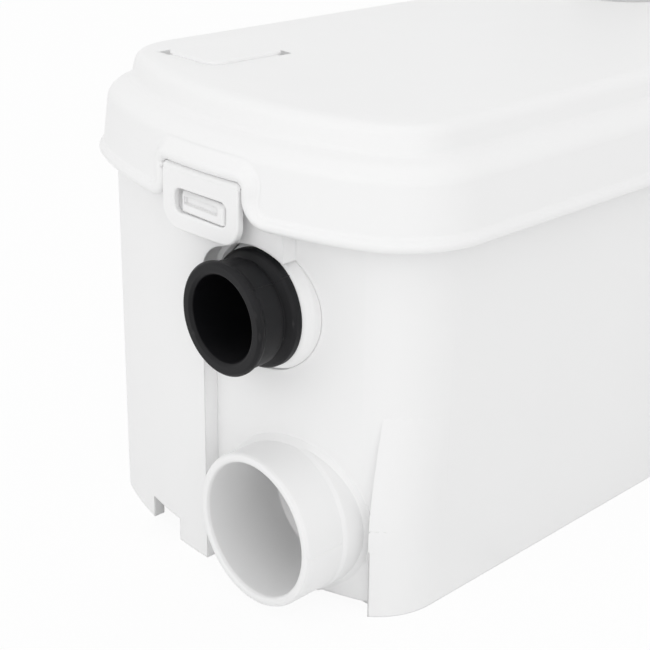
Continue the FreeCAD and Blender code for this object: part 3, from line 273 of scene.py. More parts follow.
class ShaderSheet(Wiring):
    """One material's node tree, with short ways to add what finishes need."""

    def __init__(self, name: str) -> None:
        """Makes the material with its Principled shader.

        Args:
            name: Material's name.
        """
        self.material = bpy.data.materials.new(name)
        self.material.use_nodes = True
        super().__init__(self.material.node_tree)
        self.shader = self.tree.nodes["Principled BSDF"]

    def effect(self, effect: Effect, **values: float) -> Node:
        """Adds a shared effect.

        Args:
            effect: The effect.
            **values: Input values, with underscores for spaces.

        Returns:
            The group node.
        """
        node = self.add("Group")
        node.node_tree = EFFECTS.get(effect)
        self.feed(node, **values)
        return node

    def spread(self, value: Socket, low: float, high: float, start: float = 0.3, end: float = 0.7) -> Socket:
        """Maps a value onto a range.

        Args:
            value: Source socket.
            low: Result at the start of the source span.
            high: Result at its end.
            start: Start of the source span.
            end: End of the source span.

        Returns:
            The mapped socket.
        """
        node = self.add("MapRange", Value=value, From_Min=start, From_Max=end, To_Min=low, To_Max=high)
        return node.outputs["Result"]

    def blend(self, factor: Socket, first: Colour | Socket, second: Colour) -> Socket:
        """Mixes two colours.

        Args:
            factor: Mixing socket.
            first: Colour at 0.
            second: Colour at 1.

        Returns:
            The mixed colour's socket.
        """
        node = self.add("Mix", Factor=factor)
        node.data_type = "RGBA"
        for colour, socket in zip((first, second), (s for s in node.inputs if s.type == "RGBA")):
            if isinstance(colour, tuple):
                socket.default_value = (*colour, 1.0)
            else:
                self.tree.links.new(colour, socket)
        return next(s for s in node.outputs if s.type == "RGBA")

    def relief(self, height: Socket, depth: float, soft_edge: float) -> None:
        """Sends a height through a bump, over slightly rounded edges, to the shader.

        Args:
            height: Height socket.
            depth: Bump distance in metres.
            soft_edge: Radius by which sharp edges look rounded, in metres.
        """
        bump = self.add("Bump", Distance=depth, Strength=1.0, Height=height)
        if soft_edge > 0:
            bevel = self.add("Bevel", Radius=soft_edge)
            bevel.samples = 6
            self.feed(bump, Normal=bevel.outputs["Normal"])
        self.feed(self.shader, Normal=bump.outputs["Normal"])


@dataclass(frozen=True)
class MouldedPlastic:
    """Moulded plastic with fine grain, flow marks and a slow tint change.

    Args:
        tint: Share by which the colour changes from place to place.
        rough: Lowest and highest roughness.
        grain: Grain depth in metres.
        grain_scale: Grain noise scale.
        soft_edge: Radius of softened edges in metres.
        dust: Share of colour lost to settled dust.
        dust_grey: Grey of the dust.
    """

    name: str
    colour: Colour
    tint: float = 0.02
    rough: Pair = (0.40, 0.52)
    grain: float = 0.000012
    grain_scale: float = 1400.0
    soft_edge: float = 0.0005
    dust: float = 0.0
    dust_grey: float = 0.18

    def build(self) -> Material:
        """Makes the material.

        Returns:
            The material.
        """
        sheet = ShaderSheet(self.name)
        grain = sheet.effect(Effect.GRAIN, Grain_Scale=self.grain_scale, Tint_Scale=7.0)
        flow = sheet.effect(Effect.FLOW, Scale=24.0)
        shade = tuple(c * (1 - self.tint) for c in self.colour)
        base = sheet.blend(sheet.spread(grain.outputs["Tint"], 0.0, 1.0), self.colour, shade)
        if self.dust > 0:
            settled = sheet.effect(Effect.SETTLED, Patch_Scale=55.0)
            grey = tuple(c * (1 - self.dust) + self.dust_grey * self.dust for c in self.colour)
            base = sheet.blend(sheet.spread(settled.outputs["Mask"], 0.0, 1.0, start=0.35, end=0.75), base, grey)
        sheet.feed(sheet.shader, Base_Color=base, Roughness=sheet.spread(flow.outputs["Marks"], *self.rough))
        sheet.relief(grain.outputs["Height"], self.grain, self.soft_edge)
        return sheet.material


@dataclass(frozen=True)
class MouldedRubber:
    """Black or grey rubber with bloom, fine pitting and paler rubbed edges.

    Args:
        rubbed: Colour of rubbed edges.
        rough: Lowest and highest roughness.
        grain: Pitting depth in metres.
        soft_edge: Radius of softened edges in metres.
        gloss: Specular level.
        bloom: Factor and rise that give the bloom's colour.
    """

    name: str
    colour: Colour
    rubbed: Colour
    rough: Pair = (0.36, 0.55)
    grain: float = 0.00002
    soft_edge: float = 0.0004
    gloss: float = 0.2
    bloom: Pair = (1.5, 0.004)

    def build(self) -> Material:
        """Makes the material.

        Returns:
            The material.
        """
        sheet = ShaderSheet(self.name)
        grain = sheet.effect(Effect.GRAIN, Grain_Scale=1100.0, Tint_Scale=30.0)
        edge = sheet.effect(Effect.EDGE, Break_Scale=240.0)
        bloom = tuple(c * self.bloom[0] + self.bloom[1] for c in self.colour)
        base = sheet.blend(sheet.spread(grain.outputs["Tint"], 0.0, 1.0, start=0.4, end=0.75), self.colour, bloom)
        base = sheet.blend(edge.outputs["Mask"], base, self.rubbed)
        rough = sheet.spread(grain.outputs["Tint"], *self.rough)
        sheet.feed(sheet.shader, Base_Color=base, Roughness=rough, Specular_IOR_Level=self.gloss)
        sheet.relief(grain.outputs["Height"], self.grain, self.soft_edge)
        return sheet.material


@dataclass(frozen=True)
class BareMetal:
    """Turned, drawn or cast metal with fine lines and duller patches.

    Args:
        dull: Colour of duller patches.
        rough: Lowest and highest roughness.
        lines: Depth of the lines in metres.
        soft_edge: Radius of softened edges in metres.
    """

    name: str
    colour: Colour
    dull: Colour
    rough: Pair = (0.22, 0.42)
    lines: float = 0.000008
    soft_edge: float = 0.0003

    def build(self) -> Material:
        """Makes the material.

        Returns:
            The material.
        """
        sheet = ShaderSheet(self.name)
        grain = sheet.effect(Effect.GRAIN, Grain_Scale=1500.0, Tint_Scale=45.0)
        lines = sheet.effect(Effect.BRUSHED, Line_Scale=2600.0)
        base = sheet.blend(sheet.spread(grain.outputs["Tint"], 0.0, 1.0), self.colour, self.dull)
        rough = sheet.spread(lines.outputs["Lines"], *self.rough)
        sheet.feed(sheet.shader, Base_Color=base, Metallic=1.0, Roughness=rough)
        sheet.relief(lines.outputs["Lines"], self.lines, self.soft_edge)
        return sheet.material


@dataclass(frozen=True)
class CarbonFoam:
    """Open carbon filter block, with painted shade in the middles of its cells.

    Args:
        colour: Colour of the cell walls.
        hollow: Painted shade colour for the middles of the cells, darker than the walls.
        depth: Cell depth in metres.
    """

    name: str
    colour: Colour
    hollow: Colour
    depth: float = 0.0005

    def build(self) -> Material:
        """Makes the material.

        Returns:
            The material.
        """
        sheet = ShaderSheet(self.name)
        cells = sheet.effect(Effect.FIBRES, Cell_Scale=620.0)
        # Painted shade: the middles of the Voronoi cells get the darker hollow colour, in place of the shade inside
        # the pores.
        pore_shade_mask = sheet.spread(cells.outputs["Cells"], 0.0, 1.0, start=0.15, end=0.6)
        base = sheet.blend(pore_shade_mask, self.hollow, self.colour)
        sheet.feed(sheet.shader, Base_Color=base, Roughness=sheet.spread(cells.outputs["Cells"], 0.8, 0.95))
        sheet.relief(cells.outputs["Cells"], self.depth, 0.0)
        return sheet.material


FINISHES: dict[str, MouldedPlastic | MouldedRubber | BareMetal | CarbonFoam] = {
    "white_shell": MouldedPlastic("white_shell_look", (0.90, 0.90, 0.90), tint=0.012, soft_edge=0.0008),
    "black_rubber": MouldedRubber("black_rubber_look", (0.006, 0.006, 0.007), (0.035, 0.035, 0.035)),
    "soft_seal": MouldedRubber("soft_seal_look", (0.05, 0.05, 0.055), (0.10, 0.10, 0.10), rough=(0.55, 0.7)),
    "pipe_white": MouldedPlastic("pipe_white_look", (0.80, 0.80, 0.79), tint=0.03, rough=(0.25, 0.36)),
    "pump_grey": MouldedPlastic("pump_grey_look", (0.05, 0.053, 0.058), tint=0.25, rough=(0.5, 0.66), dust=0.3),
    "impeller_black": MouldedPlastic("impeller_black_look", (0.02, 0.02, 0.022), tint=0.3, rough=(0.42, 0.6)),
    "motor_metal": BareMetal("motor_metal_look", (0.56, 0.57, 0.58), (0.40, 0.41, 0.43), rough=(0.35, 0.5)),
    "steel": BareMetal("steel_look", (0.62, 0.62, 0.63), (0.48, 0.48, 0.50)),
    "stator_iron": BareMetal("stator_iron_look", (0.20, 0.12, 0.07), (0.10, 0.07, 0.05), rough=(0.4, 0.6)),
    # filter_carbon's second colour is the painted shade in the middles of the foam's cells.
    "filter_carbon": CarbonFoam("filter_carbon_look", (0.035, 0.035, 0.036), (0.004, 0.004, 0.004)),
    "switch_red": MouldedPlastic("switch_red_look", (0.22, 0.02, 0.016), tint=0.12, rough=(0.4, 0.5)),
    "box_grey": MouldedPlastic("box_grey_look", (0.33, 0.34, 0.36), tint=0.08, rough=(0.45, 0.6), dust=0.12),
}


FINE_SHELL = replace(FINISHES["white_shell"], name="white_shell_fine_look", soft_edge=0.0)
FINE_RUBBER = replace(FINISHES["black_rubber"], name="black_rubber_fine_look", soft_edge=0.0)


class Wardrobe:
    """Builds each finish once and dresses the CAD nodes by their record slots."""

    def __init__(self) -> None:
        """Builds the materials."""
        self.looks = {slot: finish.build() for slot, finish in FINISHES.items()}

    def dress_nodes(self) -> None:
        """Gives every CAD node the look of its record slot."""
        slots = {entry["node"]: entry["material_slot"] for entry in frame["record"]["subparts"]}
        for name, node in frame["nodes"].items():
            node.data.materials.clear()
            node.data.materials.append(self.looks[slots[name]])
        log.info("dressed %d nodes", len(frame["nodes"]))


def bend(start: Vector, corner: Vector, end: Vector, share: float) -> Vector:
    """Point on the curve that rounds a corner.

    Args:
        start: Where the curve leaves the first side.
        corner: The corner.
        end: Where it meets the second side.
        share: Share of the way along it.

    Returns:
        The point.
    """
    return start * (1 - share) ** 2 + corner * (2 * share * (1 - share)) + end * share ** 2


def eased(corners: list[Triple], steps: int = 5, closed: bool = False) -> list[Pair]:
    """Rounds the corners of a polyline.

    Args:
        corners: (first, second, ease) with ease the length cut off each side of the corner.
        steps: Points on each rounded corner.
        closed: Whether the line closes on itself.

    Returns:
        The points of the rounded line.
    """
    count = len(corners)
    out = []
    for i, (u, v, ease) in enumerate(corners):
        if ease <= 0 or (not closed and i in (0, count - 1)):
            out.append((u, v))
            continue
        here = Vector((u, v))
        ends = []
        for other in (corners[i - 1], corners[(i + 1) % count]):
            away = Vector(other[:2]) - here
            ends.append(here + away.normalized() * min(ease, away.length * SIDE_SHARE))
        out += [tuple(bend(ends[0], here, ends[1], k / steps)) for k in range(steps + 1)]
    return out


def rounded_loop(low: Pair, high: Pair, radii: tuple[float, float, float, float],
                 steps: int = 10) -> list[tuple[float, float, float, float]]:
    """Rounded rectangle as points with outward directions.

    Args:
        low: Lowest corner, first and second place.
        high: Highest corner.
        radii: Corner radii from the lowest corner, anticlockwise.
        steps: Steps on each corner.

    Returns:
        (first, second, outward first, outward second) for each point.
    """
    corners = ((low[0], low[1], 180), (high[0], low[1], 270), (high[0], high[1], 0), (low[0], high[1], 90))
    signs = ((1, 1), (-1, 1), (-1, -1), (1, -1))
    out = []
    for (x, y, start), (sx, sy), radius in zip(corners, signs, radii):
        for k in range(steps + 1):
            turn = math.radians(start + 90 * k / steps)
            out.append((x + sx * radius + radius * math.cos(turn), y + sy * radius + radius * math.sin(turn),
                        math.cos(turn), math.sin(turn)))
    return out


class Sketch:
    """Collects a piece's mesh in millimetres and turns it into an object."""

    def __init__(self) -> None:
        """Starts with an empty mesh."""
        self.mesh = bmesh.new()

    def grid(self, rows: list[list[Vector]], round_u: bool = False, round_v: bool = False) -> None:
        """Adds quads between rows of points.

        Args:
            rows: Rows of equal length.
            round_u: Whether each row closes on itself.
            round_v: Whether the last row joins the first.
        """
        spots = [[self.mesh.verts.new(p) for p in row] for row in rows]
        pairs = list(zip(spots, spots[1:])) + ([(spots[-1], spots[0])] if round_v else [])
        wide = len(rows[0])
        for low_row, top_row in pairs:
            for i in range(wide if round_u else wide - 1):
                k = (i + 1) % wide
                self.mesh.faces.new((low_row[i], low_row[k], top_row[k], top_row[i]))

    def turned(self, profile: list[Pair], centre: Vector, axis: Vector, side: Vector, steps: int = 96) -> None:
        """Adds a closed profile turned round an axis.

        Args:
            profile: Closed loop of (distance along the axis, radius).
            centre: Point on the axis.
            axis: Direction of the axis.
            side: Direction at right angles to it, where turning starts.
            steps: Points round the turn.
        """
        other = axis.cross(side)
        turns = [2 * math.pi * i / steps for i in range(steps)]
        ring = [side * math.cos(turn) + other * math.sin(turn) for turn in turns]
        rows = [[centre + axis * along + out * radius for out in ring] for along, radius in profile]
        self.grid(rows, round_u=True, round_v=True)

    def tube(self, path: list[Vector], outward: list[Vector], radius: float, steps: int = 16,
             closed: bool = False) -> None:
        """Adds a round tube along a path.

        Args:
            path: Points of its middle line.
            outward: Direction at right angles to the path at each point.
            radius: Tube radius.
            steps: Points round the tube.
            closed: Whether the path closes on itself.
        """
        count = len(path)
        rows = []
        for i, spot in enumerate(path):
            ahead = path[(i + 1) % count] if closed or i + 1 < count else spot
            behind = path[i - 1] if closed or i > 0 else spot
            along = (ahead - behind).normalized()
            out = (outward[i] - along * outward[i].dot(along)).normalized()
            across = along.cross(out)
            turns = [2 * math.pi * k / steps for k in range(steps)]
            rows.append([spot + (out * math.cos(a) + across * math.sin(a)) * radius for a in turns])
        if closed:
            self.grid(rows, round_u=True, round_v=True)
        else:
            self.capped(rows)

    def moulding_line(self, path: list[Vector], out: Vector, radius: float) -> None:
        """Adds a thin raised line along a path in one plane through the X direction.

        Args:
            path: Points of its middle line.
            out: Direction away from the axis.
            radius: Its radius.
        """
        self.tube(path, [Vector((0, -out.z, out.y))] * len(path), radius, 8)

    def copy_of(self, node: str) -> list[bmesh.types.BMVert]:
        """Adds a welded copy of a CAD node's mesh.

        Args:
            node: Node's name.

        Returns:
            The copy's points.
        """
        self.mesh.from_mesh(frame["nodes"][node].data)
        for vert in self.mesh.verts:
            vert.co = vert.co / MM
        self.weld()
        return list(self.mesh.verts)

    def weld(self) -> None:
        """Joins points that lie on one another."""
        bmesh.ops.remove_doubles(self.mesh, verts=list(self.mesh.verts), dist=WELD)

    def capped(self, rows: list[list[Vector]]) -> None:
        """Adds closed loops joined in turn, with the first and the last one filled.

        Args:
            rows: Loops of equal length.
        """
        count = len(rows[0])
        self.grid(rows, round_u=True)
        self.mesh.verts.ensure_lookup_table()
        loops = self.mesh.verts[len(self.mesh.verts) - count * len(rows):]
        self.mesh.faces.new(tuple(reversed(loops[:count])))
        self.mesh.faces.new(tuple(loops[-count:]))

    def face_outward(self) -> None:
        """Turns the normals of closed parts outward."""
        bmesh.ops.recalc_face_normals(self.mesh, faces=list(self.mesh.faces))

    def finish(self, name: str, body: Body, slot: str, look: Material, stands_for: tuple[str, ...] = (),
               sharp: float = 32.0) -> Piece:
        """Makes the object, dresses it and puts it on its body.

        Args:
            name: Object's name.
            body: Body that it rides on.
            slot: Material slot of the record; not used.
            look: Its material.
            stands_for: CAD nodes that it replaces.
            sharp: Angle above which an edge stays sharp, in degrees.

        Returns:
            The object.
        """
        for vert in self.mesh.verts:
            vert.co = vert.co * MM
        data = bpy.data.meshes.new(name)
        self.mesh.to_mesh(data)
        self.mesh.free()
        data.shade_smooth()
        data.set_sharp_from_angle(angle=math.radians(sharp))
        data.materials.clear()
        data.materials.append(look)
        piece = bpy.data.objects.new(name, data)
        bpy.context.scene.collection.objects.link(piece)
        piece.modifiers.new("weighted", "WEIGHTED_NORMAL").keep_sharp = True
        if stands_for:
            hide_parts(*stands_for)
        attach(piece, body.value)
        log.info("%s: %d faces on %s", name, len(data.polygons), body.value)
        return piece


@dataclass(frozen=True)
class Station:
    """Place on a plan outline.

    Args:
        centre: Centre of curvature, or the place itself on a straight side.
        out: Outward direction.
        radius: Radius of curvature, or 0 on a straight side.
    """

    centre: Vector
    out: Vector
    radius: float

    def at(self, inset: float, z: float) -> Vector:
        """Point inside the outline by an inset, at a height."""
        return self.centre + self.out * (self.radius - inset) + UP * z


@dataclass(frozen=True)
class PlanOutline:
    """Plan outline with straight sides, round corners and bowed ends, in millimetres.

    Args:
        half_length: Half length at the middle of the bowed ends.
        bow: Radius of the bowed ends.
        corner: Radius of the corners.
    """

    half_length: float
    half_width: float
    bow: float
    corner: float
    bow_steps: int = 44
    corner_steps: int = 16
    side_steps: int = 24

    @property
    def bow_x(self) -> float:
        """X of the bow's centre on the +X side."""
        return self.half_length - self.bow

    @property
    def side(self) -> float:
        """Distance of the corners' centres from the middle line."""
        return self.half_width - self.corner

    @property
    def touch(self) -> Pair:
        """Angle where bow and corner meet, and X of the corner's centre."""
        run = math.sqrt((self.bow - self.corner) ** 2 - self.side ** 2)
        return math.atan2(self.side, run), self.bow_x + run

    def inside(self, x: float, y: float) -> tuple[float, Vector]:
        """How far a place lies inside the outline.

        Args:
            x: X of the place.
            y: Y of the place.

        Returns:
            The distance inward and the inward direction.
        """
        angle, corner_x = self.touch
        away, aside = abs(x), abs(y)
        from_end = self.bow - math.hypot(away - self.bow_x, aside)
        if away <= corner_x:
            return min(self.half_width - aside, from_end), Vector((0, -math.copysign(1, y), 0))
        if math.atan2(aside, away - self.bow_x) <= angle:
            return from_end, Vector((math.copysign(self.bow_x, x) - x, -y, 0)).normalized()
        inward = Vector((math.copysign(corner_x, x) - x, math.copysign(self.side, y) - y, 0))
        return self.corner - math.hypot(away - corner_x, aside - self.side), inward.normalized()

    def end_x(self, y: float, inset: float) -> float:
        """X of the +X bowed end at a place across and an inset."""
        return self.bow_x + math.sqrt((self.bow - inset) ** 2 - y ** 2)

    def stations(self, extra: tuple[float, ...] = ()) -> list[Station]:
        """Places round the outline, anticlockwise from the +X end's -Y side.

        Args:
            extra: Places across where the bowed ends get a station of their own.

        Returns:
            The stations.
        """
        angle, corner_x = self.touch
        turns = [angle * (2 * i / self.bow_steps - 1) for i in range(self.bow_steps + 1)]
        turns = sorted(turns + [math.asin(y / self.bow) for y in extra])
        corner_turns = [angle + (QUARTER - angle) * i / self.corner_steps for i in range(1, self.corner_steps + 1)]
        right = [(corner_x, -self.side, -turn, self.corner) for turn in reversed(corner_turns)]
        right += [(self.bow_x, 0.0, turn, self.bow) for turn in turns]
        right += [(corner_x, self.side, turn, self.corner) for turn in corner_turns]
        left = [(-x, y, math.pi - turn, radius) for x, y, turn, radius in reversed(right)]
        out: list[Station] = []
        for places, wall in ((right, 1.0), (left, -1.0)):
            for x, y, turn, radius in places:
                out.append(Station(Vector((x, y, 0)), Vector((math.cos(turn), math.sin(turn), 0)), radius))
            for i in range(1, self.side_steps):
                spot = Vector((wall * corner_x * (1 - 2 * i / self.side_steps), wall * self.half_width, 0))
                out.append(Station(spot, Vector((0, wall, 0)), 0.0))
        return out


@dataclass(frozen=True)
class SunkLevel:
    """Level of the solid lid that lies under the roll and skin, and how it is drawn in.

    Args:
        inset: Distance inside the outline.
        z: Height.
        move: Move inward.
        lift: Move upward.
    """

    inset: float
    z: float
    move: float
    lift: float


@dataclass(frozen=True)
class LidShell:
    """Lid with its rolled rim, the arches round the latch notches and the eased crown.

    Args:
        plan: Outline of the widest line of the rim roll.
        rim_z: Height of the rim's lower edge.
        roll_z: Height of the roll's middle line.
        notch_half: Half width between the middle lines of the arch's sides.
        arch_z: Height of the arch's middle line at the top.
        arch_corner: Radius of its upper corners.
        mouths: Radii of its lower corners on the -Y and the +Y side.
        mouth_gap: How far beyond a lower corner the straight part of the roll stops.
        mouth_reach: How far beyond a lower corner points are drawn back to it.
        mouth_inset: Least distance inside the outline of a point that is drawn back.
        profile: (inset, height, ease) from the skirt over the shoulder to the crown.
        skirt_low: Inset and height of the skirt's foot, inside the roll.
        hollow: How far the hollow easing reaches up the skirt.
        hollow_depth: How far its end lies in the skirt.
        hollow_touch: Share of the roll's radius at which the easing leaves it.
        hollow_guess: First guess of how far it reaches beyond the roll.
        seat_from: Middle of the vent seat in the solid.
        seat_to: Middle of the seat under the cover.
        seat_share: Size of that seat as shares of the solid's.
        seat_reach: Half size of the space round the seat's points.
        seat_core: Half size of the space inside them.
        ends_x: Distance from the middle beyond which a point is on a bowed end.
        notch_depth: Distance inside the outline that the notch reaches.
        notch_zone: Reach across of the notch and its sides from its middle.
        notch_above: How far the notch's own points reach above the arch.
        bead: Inset of the notch's bead.
        bead_slack: Greatest distance of a point from that inset.
        bead_span: How far the bead reaches below the rim and above the arch.
        level_slack: Greatest distance of a point from its level.
        line_slack: Greatest distance of a point from the line between two levels.
        skirt_level: Place in the list of levels where the skirt starts.
        levels: Levels of the solid.
    """

    plan: PlanOutline = PlanOutline(150.0, 80.6, 145.0, 35.0)
    rim_z: float = 123.8
    roll: float = 2.1
    roll_z: float = 125.9
    roll_steps: int = 28
    latch_y: float = -5.05
    notch_half: float = 19.35
    arch_z: float = 139.05
    arch_corner: float = 3.7
    arc_steps: int = 8
    mouths: Pair = (7.0, 4.2)
    mouth_gap: float = 0.4
    mouth_reach: float = 4.0
    mouth_inset: float = 1.2
    profile: tuple[Triple, ...] = (
        (2.94, 141.3, 0.0), (3.3, 144.8, 2.0), (6.5, 148.0, 2.0), (11.0, 149.8, 1.5), (12.4, 156.2, 1.4),
        (14.2, 158.0, 1.3), (17.2, 158.66, 1.3), (19.8, 158.5, 0.0))
    skirt_low: Pair = (1.42, 127.3)
    hollow: float = 1.1
    hollow_depth: float = 0.03
    hollow_touch: float = 0.99
    hollow_guess: float = 1.4
    seat_from: Pair = (-100.2, 40.8)
    seat_to: Pair = (-102.0, 37.9)
    seat_share: Pair = (0.874, 0.983)
    seat_floor_z: float = 157.0
    seat_reach: Pair = (20.0, 15.0)
    seat_core: Pair = (13.5, 8.5)
    ends_x: float = 130.0
    notch_depth: float = 9.0
    notch_zone: float = 24.0
    notch_above: float = 2.0
    bead: float = 0.15
    bead_slack: float = 0.1
    bead_span: Pair = (0.5, 4.0)
    level_slack: float = 0.05
    line_slack: float = 0.15
    skirt_level: int = 3
    levels: tuple[SunkLevel, ...] = (
        SunkLevel(0.8, 123.8, 1.2, 0.3), SunkLevel(0.0, 125.3, 1.8, 0.0), SunkLevel(0.533, 127.04, 1.3, 0.0),
        SunkLevel(1.6, 129.2, 0.6, 0.0), SunkLevel(3.3, 144.8, 0.6, -0.3), SunkLevel(6.5, 148.0, 0.6, -0.6),
        SunkLevel(11.0, 149.8, 0.5, -0.4), SunkLevel(12.4, 156.2, 0.6, -0.3), SunkLevel(14.2, 158.0, 0.5, -0.6),
        SunkLevel(17.2, 158.6, 0.4, 0.0))

    def _arch_side(self, mouth: float) -> list[Pair]:
        """Middle line of the arch's -Y side, from its foot to its upper corner.

        Args:
            mouth: Radius of the lower corner.

        Returns:
            (place across from the latch's middle, height).
        """
        half, low, corner = self.notch_half, self.roll_z + mouth, self.arch_corner
        high = self.arch_z - corner
        out: list[Pair] = []
        for k in range(self.arc_steps + 1):
            turn = -QUARTER + QUARTER * k / self.arc_steps
            out.append((-half - mouth + mouth * math.cos(turn), low + mouth * math.sin(turn)))
        out += [(-half, low + (high - low) * k / 3) for k in (1, 2)]
        for k in range(self.arc_steps + 1):
            turn = math.pi - QUARTER * k / self.arc_steps
            out.append((-half + corner + corner * math.cos(turn), high + corner * math.sin(turn)))
        return out

    def _arch(self) -> list[Pair]:
        """Middle line of the arch, from -Y to +Y.

        Returns:
            (place across from the latch's middle, height).
        """
        flat = self.notch_half - self.arch_corner
        near = self._arch_side(self.mouths[0])
        far = [(-across, height) for across, height in reversed(self._arch_side(self.mouths[1]))]
        return near + [(flat * (k / 4 - 1), self.arch_z) for k in range(1, 8)] + far

    def _roll_path(self) -> tuple[list[Vector], list[Vector]]:
        """Middle line of the roll, right round the lid and over both arches.

        Returns:
            The points and their outward directions.
        """
        path: list[Vector] = []
        outward: list[Vector] = []
        done = {1: False, -1: False}
        for station in self.plan.stations():
            spot = station.at(self.roll, self.roll_z)
            across = spot.y - self.latch_y
            reach = self.notch_half + self.mouths[0 if across < 0 else 1] + self.mouth_gap
            if station.radius != self.plan.bow or abs(across) >= reach:
                path.append(spot)
                outward.append(station.out)
                continue
            end = 1 if spot.x > 0 else -1
            if done[end]:
                continue
            done[end] = True
            for across, height in self._arch()[::end]:
                y = self.latch_y + across
                x = self.plan.end_x(y, self.roll)
                path.append(Vector((end * x, y, height)))
                outward.append(Vector((end * (x - self.plan.bow_x), y, 0)).normalized())
        return path, outward

    def _ease_roll(self, sketch: Sketch, path: list[Vector], outward: list[Vector]) -> None:
        """Adds the hollow easing between the roll and the skirt, all along the roll.

        Args:
            sketch: Piece being made.
            path: Middle line of the roll.
            outward: Outward directions along it.
        """
        foot_inset, foot_z = self.skirt_low
        lean = (self.profile[0][0] - foot_inset) / (self.profile[0][1] - foot_z)
        touch = self.roll * math.sqrt(0.5) * self.hollow_touch
        rows: list[list[Vector]] = []
        for i, spot in enumerate(path):
            along = (path[(i + 1) % len(path)] - path[i - 1]).normalized()
            out = (outward[i] - along * outward[i].dot(along)).normalized()
            up = out.cross(along)
            reach, skirt = self.roll + self.hollow_guess, 0.0
            for _ in range(3):
                skirt = self.roll - (foot_inset + lean * (spot.z + up.z * reach - foot_z))
                reach = 2 * touch - skirt + self.hollow
            start, corner = Vector((touch, touch)), Vector((skirt, 2 * touch - skirt))
            end = Vector((skirt - self.hollow_depth, reach))
            line = [bend(start, corner, end, k / self.arc_steps) for k in range(self.arc_steps + 1)]
            rows.append([spot + out * p.x + up * p.y for p in line])
        sketch.grid(rows, round_v=True)

    def _fit_vent_seat(self, vert: bmesh.types.BMVert) -> None:
        """Moves a point of the vent cover's seat under the cover's lip.

        Args:
            vert: Point of the lid's copy.
        """
        x, y = vert.co.x - self.seat_from[0], vert.co.y - self.seat_from[1]
        near = abs(x) < self.seat_reach[0] and abs(y) < self.seat_reach[1]
        clear = abs(x) > self.seat_core[0] or abs(y) > self.seat_core[1]
        if near and clear and vert.co.z > self.seat_floor_z - self.level_slack:
            vert.co.x = self.seat_to[0] + x * self.seat_share[0]
            vert.co.y = self.seat_to[1] + y * self.seat_share[1]

    def _fit_notch_mouth(self, vert: bmesh.types.BMVert, inset: float) -> None:
        """Draws a point at a lower corner of the notch back to the roll's middle line.

        Args:
            vert: Point of the lid's copy.
            inset: Its distance inside the outline.
        """
        if abs(vert.co.x) < self.ends_x or inset > self.notch_depth:
            return
        for side, mouth in zip((-1, 1), self.mouths):
            centre = Vector((self.latch_y + side * (self.notch_half + mouth), self.roll_z + mouth))
            away = Vector((vert.co.y, vert.co.z)) - centre
            if 0 < -side * away.x < mouth + self.mouth_reach and away.y < 0 and away.length > mouth:
                spot = centre + away.normalized() * mouth
                x = self.plan.end_x(spot.x, max(inset, self.mouth_inset))
                vert.co = Vector((math.copysign(x, vert.co.x), spot.x, spot.y))

    def _sink_of(self, spot: Vector, inset: float) -> Pair:
        """How a point on the solid's outer levels, or between two of them, is drawn in.

        Args:
            spot: The point.
            inset: Its distance inside the outline.

        Returns:
            The move inward and the lift; both are 0 for a point elsewhere.
        """
        z = spot.z
        for level in self.levels:
            if abs(inset - level.inset) < self.level_slack and abs(z - level.z) < self.level_slack:
                return level.move, level.lift
        skirt = self.levels[self.skirt_level:]
        by_notch = abs(spot.x) > self.ends_x and abs(spot.y - self.latch_y) < self.notch_zone
        if z >= skirt[0].z and not (by_notch and z < self.arch_z + self.notch_above):
            for low, high in zip(skirt, skirt[1:]):
                run, rise = high.inset - low.inset, high.z - low.z
                length = math.hypot(run, rise)
                share = ((inset - low.inset) * run + (z - low.z) * rise) / length ** 2
                away = abs((inset - low.inset) * rise - (z - low.z) * run) / length
                if away < self.line_slack and 0 <= share <= 1:
                    return low.move + (high.move - low.move) * share, low.lift + (high.lift - low.lift) * share
        below, above = self.bead_span
        high_enough = self.rim_z - below < z < self.arch_z + above
        return (self.roll, 0.0) if high_enough and abs(inset - self.bead) < self.bead_slack else (0.0, 0.0)

    def _sink_copy(self, sketch: Sketch) -> None:
        """Adds the CAD lid with the faces that lie under the roll and skin drawn in.

        Args:
            sketch: Piece being made.
        """
        for vert in sketch.copy_of("lid"):
            self._fit_vent_seat(vert)
            inset = self.plan.inside(vert.co.x, vert.co.y)[0]
            self._fit_notch_mouth(vert, inset)
            move, lift = self._sink_of(vert.co, inset)
            vert.co = vert.co + self.plan.inside(vert.co.x, vert.co.y)[1] * move + UP * lift

    def _skin(self, sketch: Sketch) -> None:
        """Adds the eased outer skin above the roll.

        Args:
            sketch: Piece being made.
        """
        sides = (self.latch_y - self.notch_half, self.latch_y + self.notch_half)
        stations = self.plan.stations(sides)
        sketch.grid([[s.at(inset, z) for s in stations] for inset, z in eased(list(self.profile))], round_u=True)
        for pair in zip(stations, stations[1:] + stations[:1]):
            middle = [s.at(0, 0).y for s in pair]
            bowed = all(s.radius == self.plan.bow for s in pair)
            if bowed and min(middle) > sides[0] - HAIR and max(middle) < sides[1] + HAIR:
                continue
            sketch.grid([[s.at(*self.skirt_low) for s in pair], [s.at(*self.profile[0][:2]) for s in pair]])

    def build(self, look: Material) -> Piece:
        """Makes the lid.

        Args:
            look: Its material.

        Returns:
            The piece.
        """
        sketch = Sketch()
        self._sink_copy(sketch)
        path, outward = self._roll_path()
        sketch.tube(path, outward, self.roll, self.roll_steps, closed=True)
        self._ease_roll(sketch, path, outward)
        self._skin(sketch)
        sketch.weld()
        return sketch.finish("lid_shell", Body.LID, "white_shell", look, ("lid",))


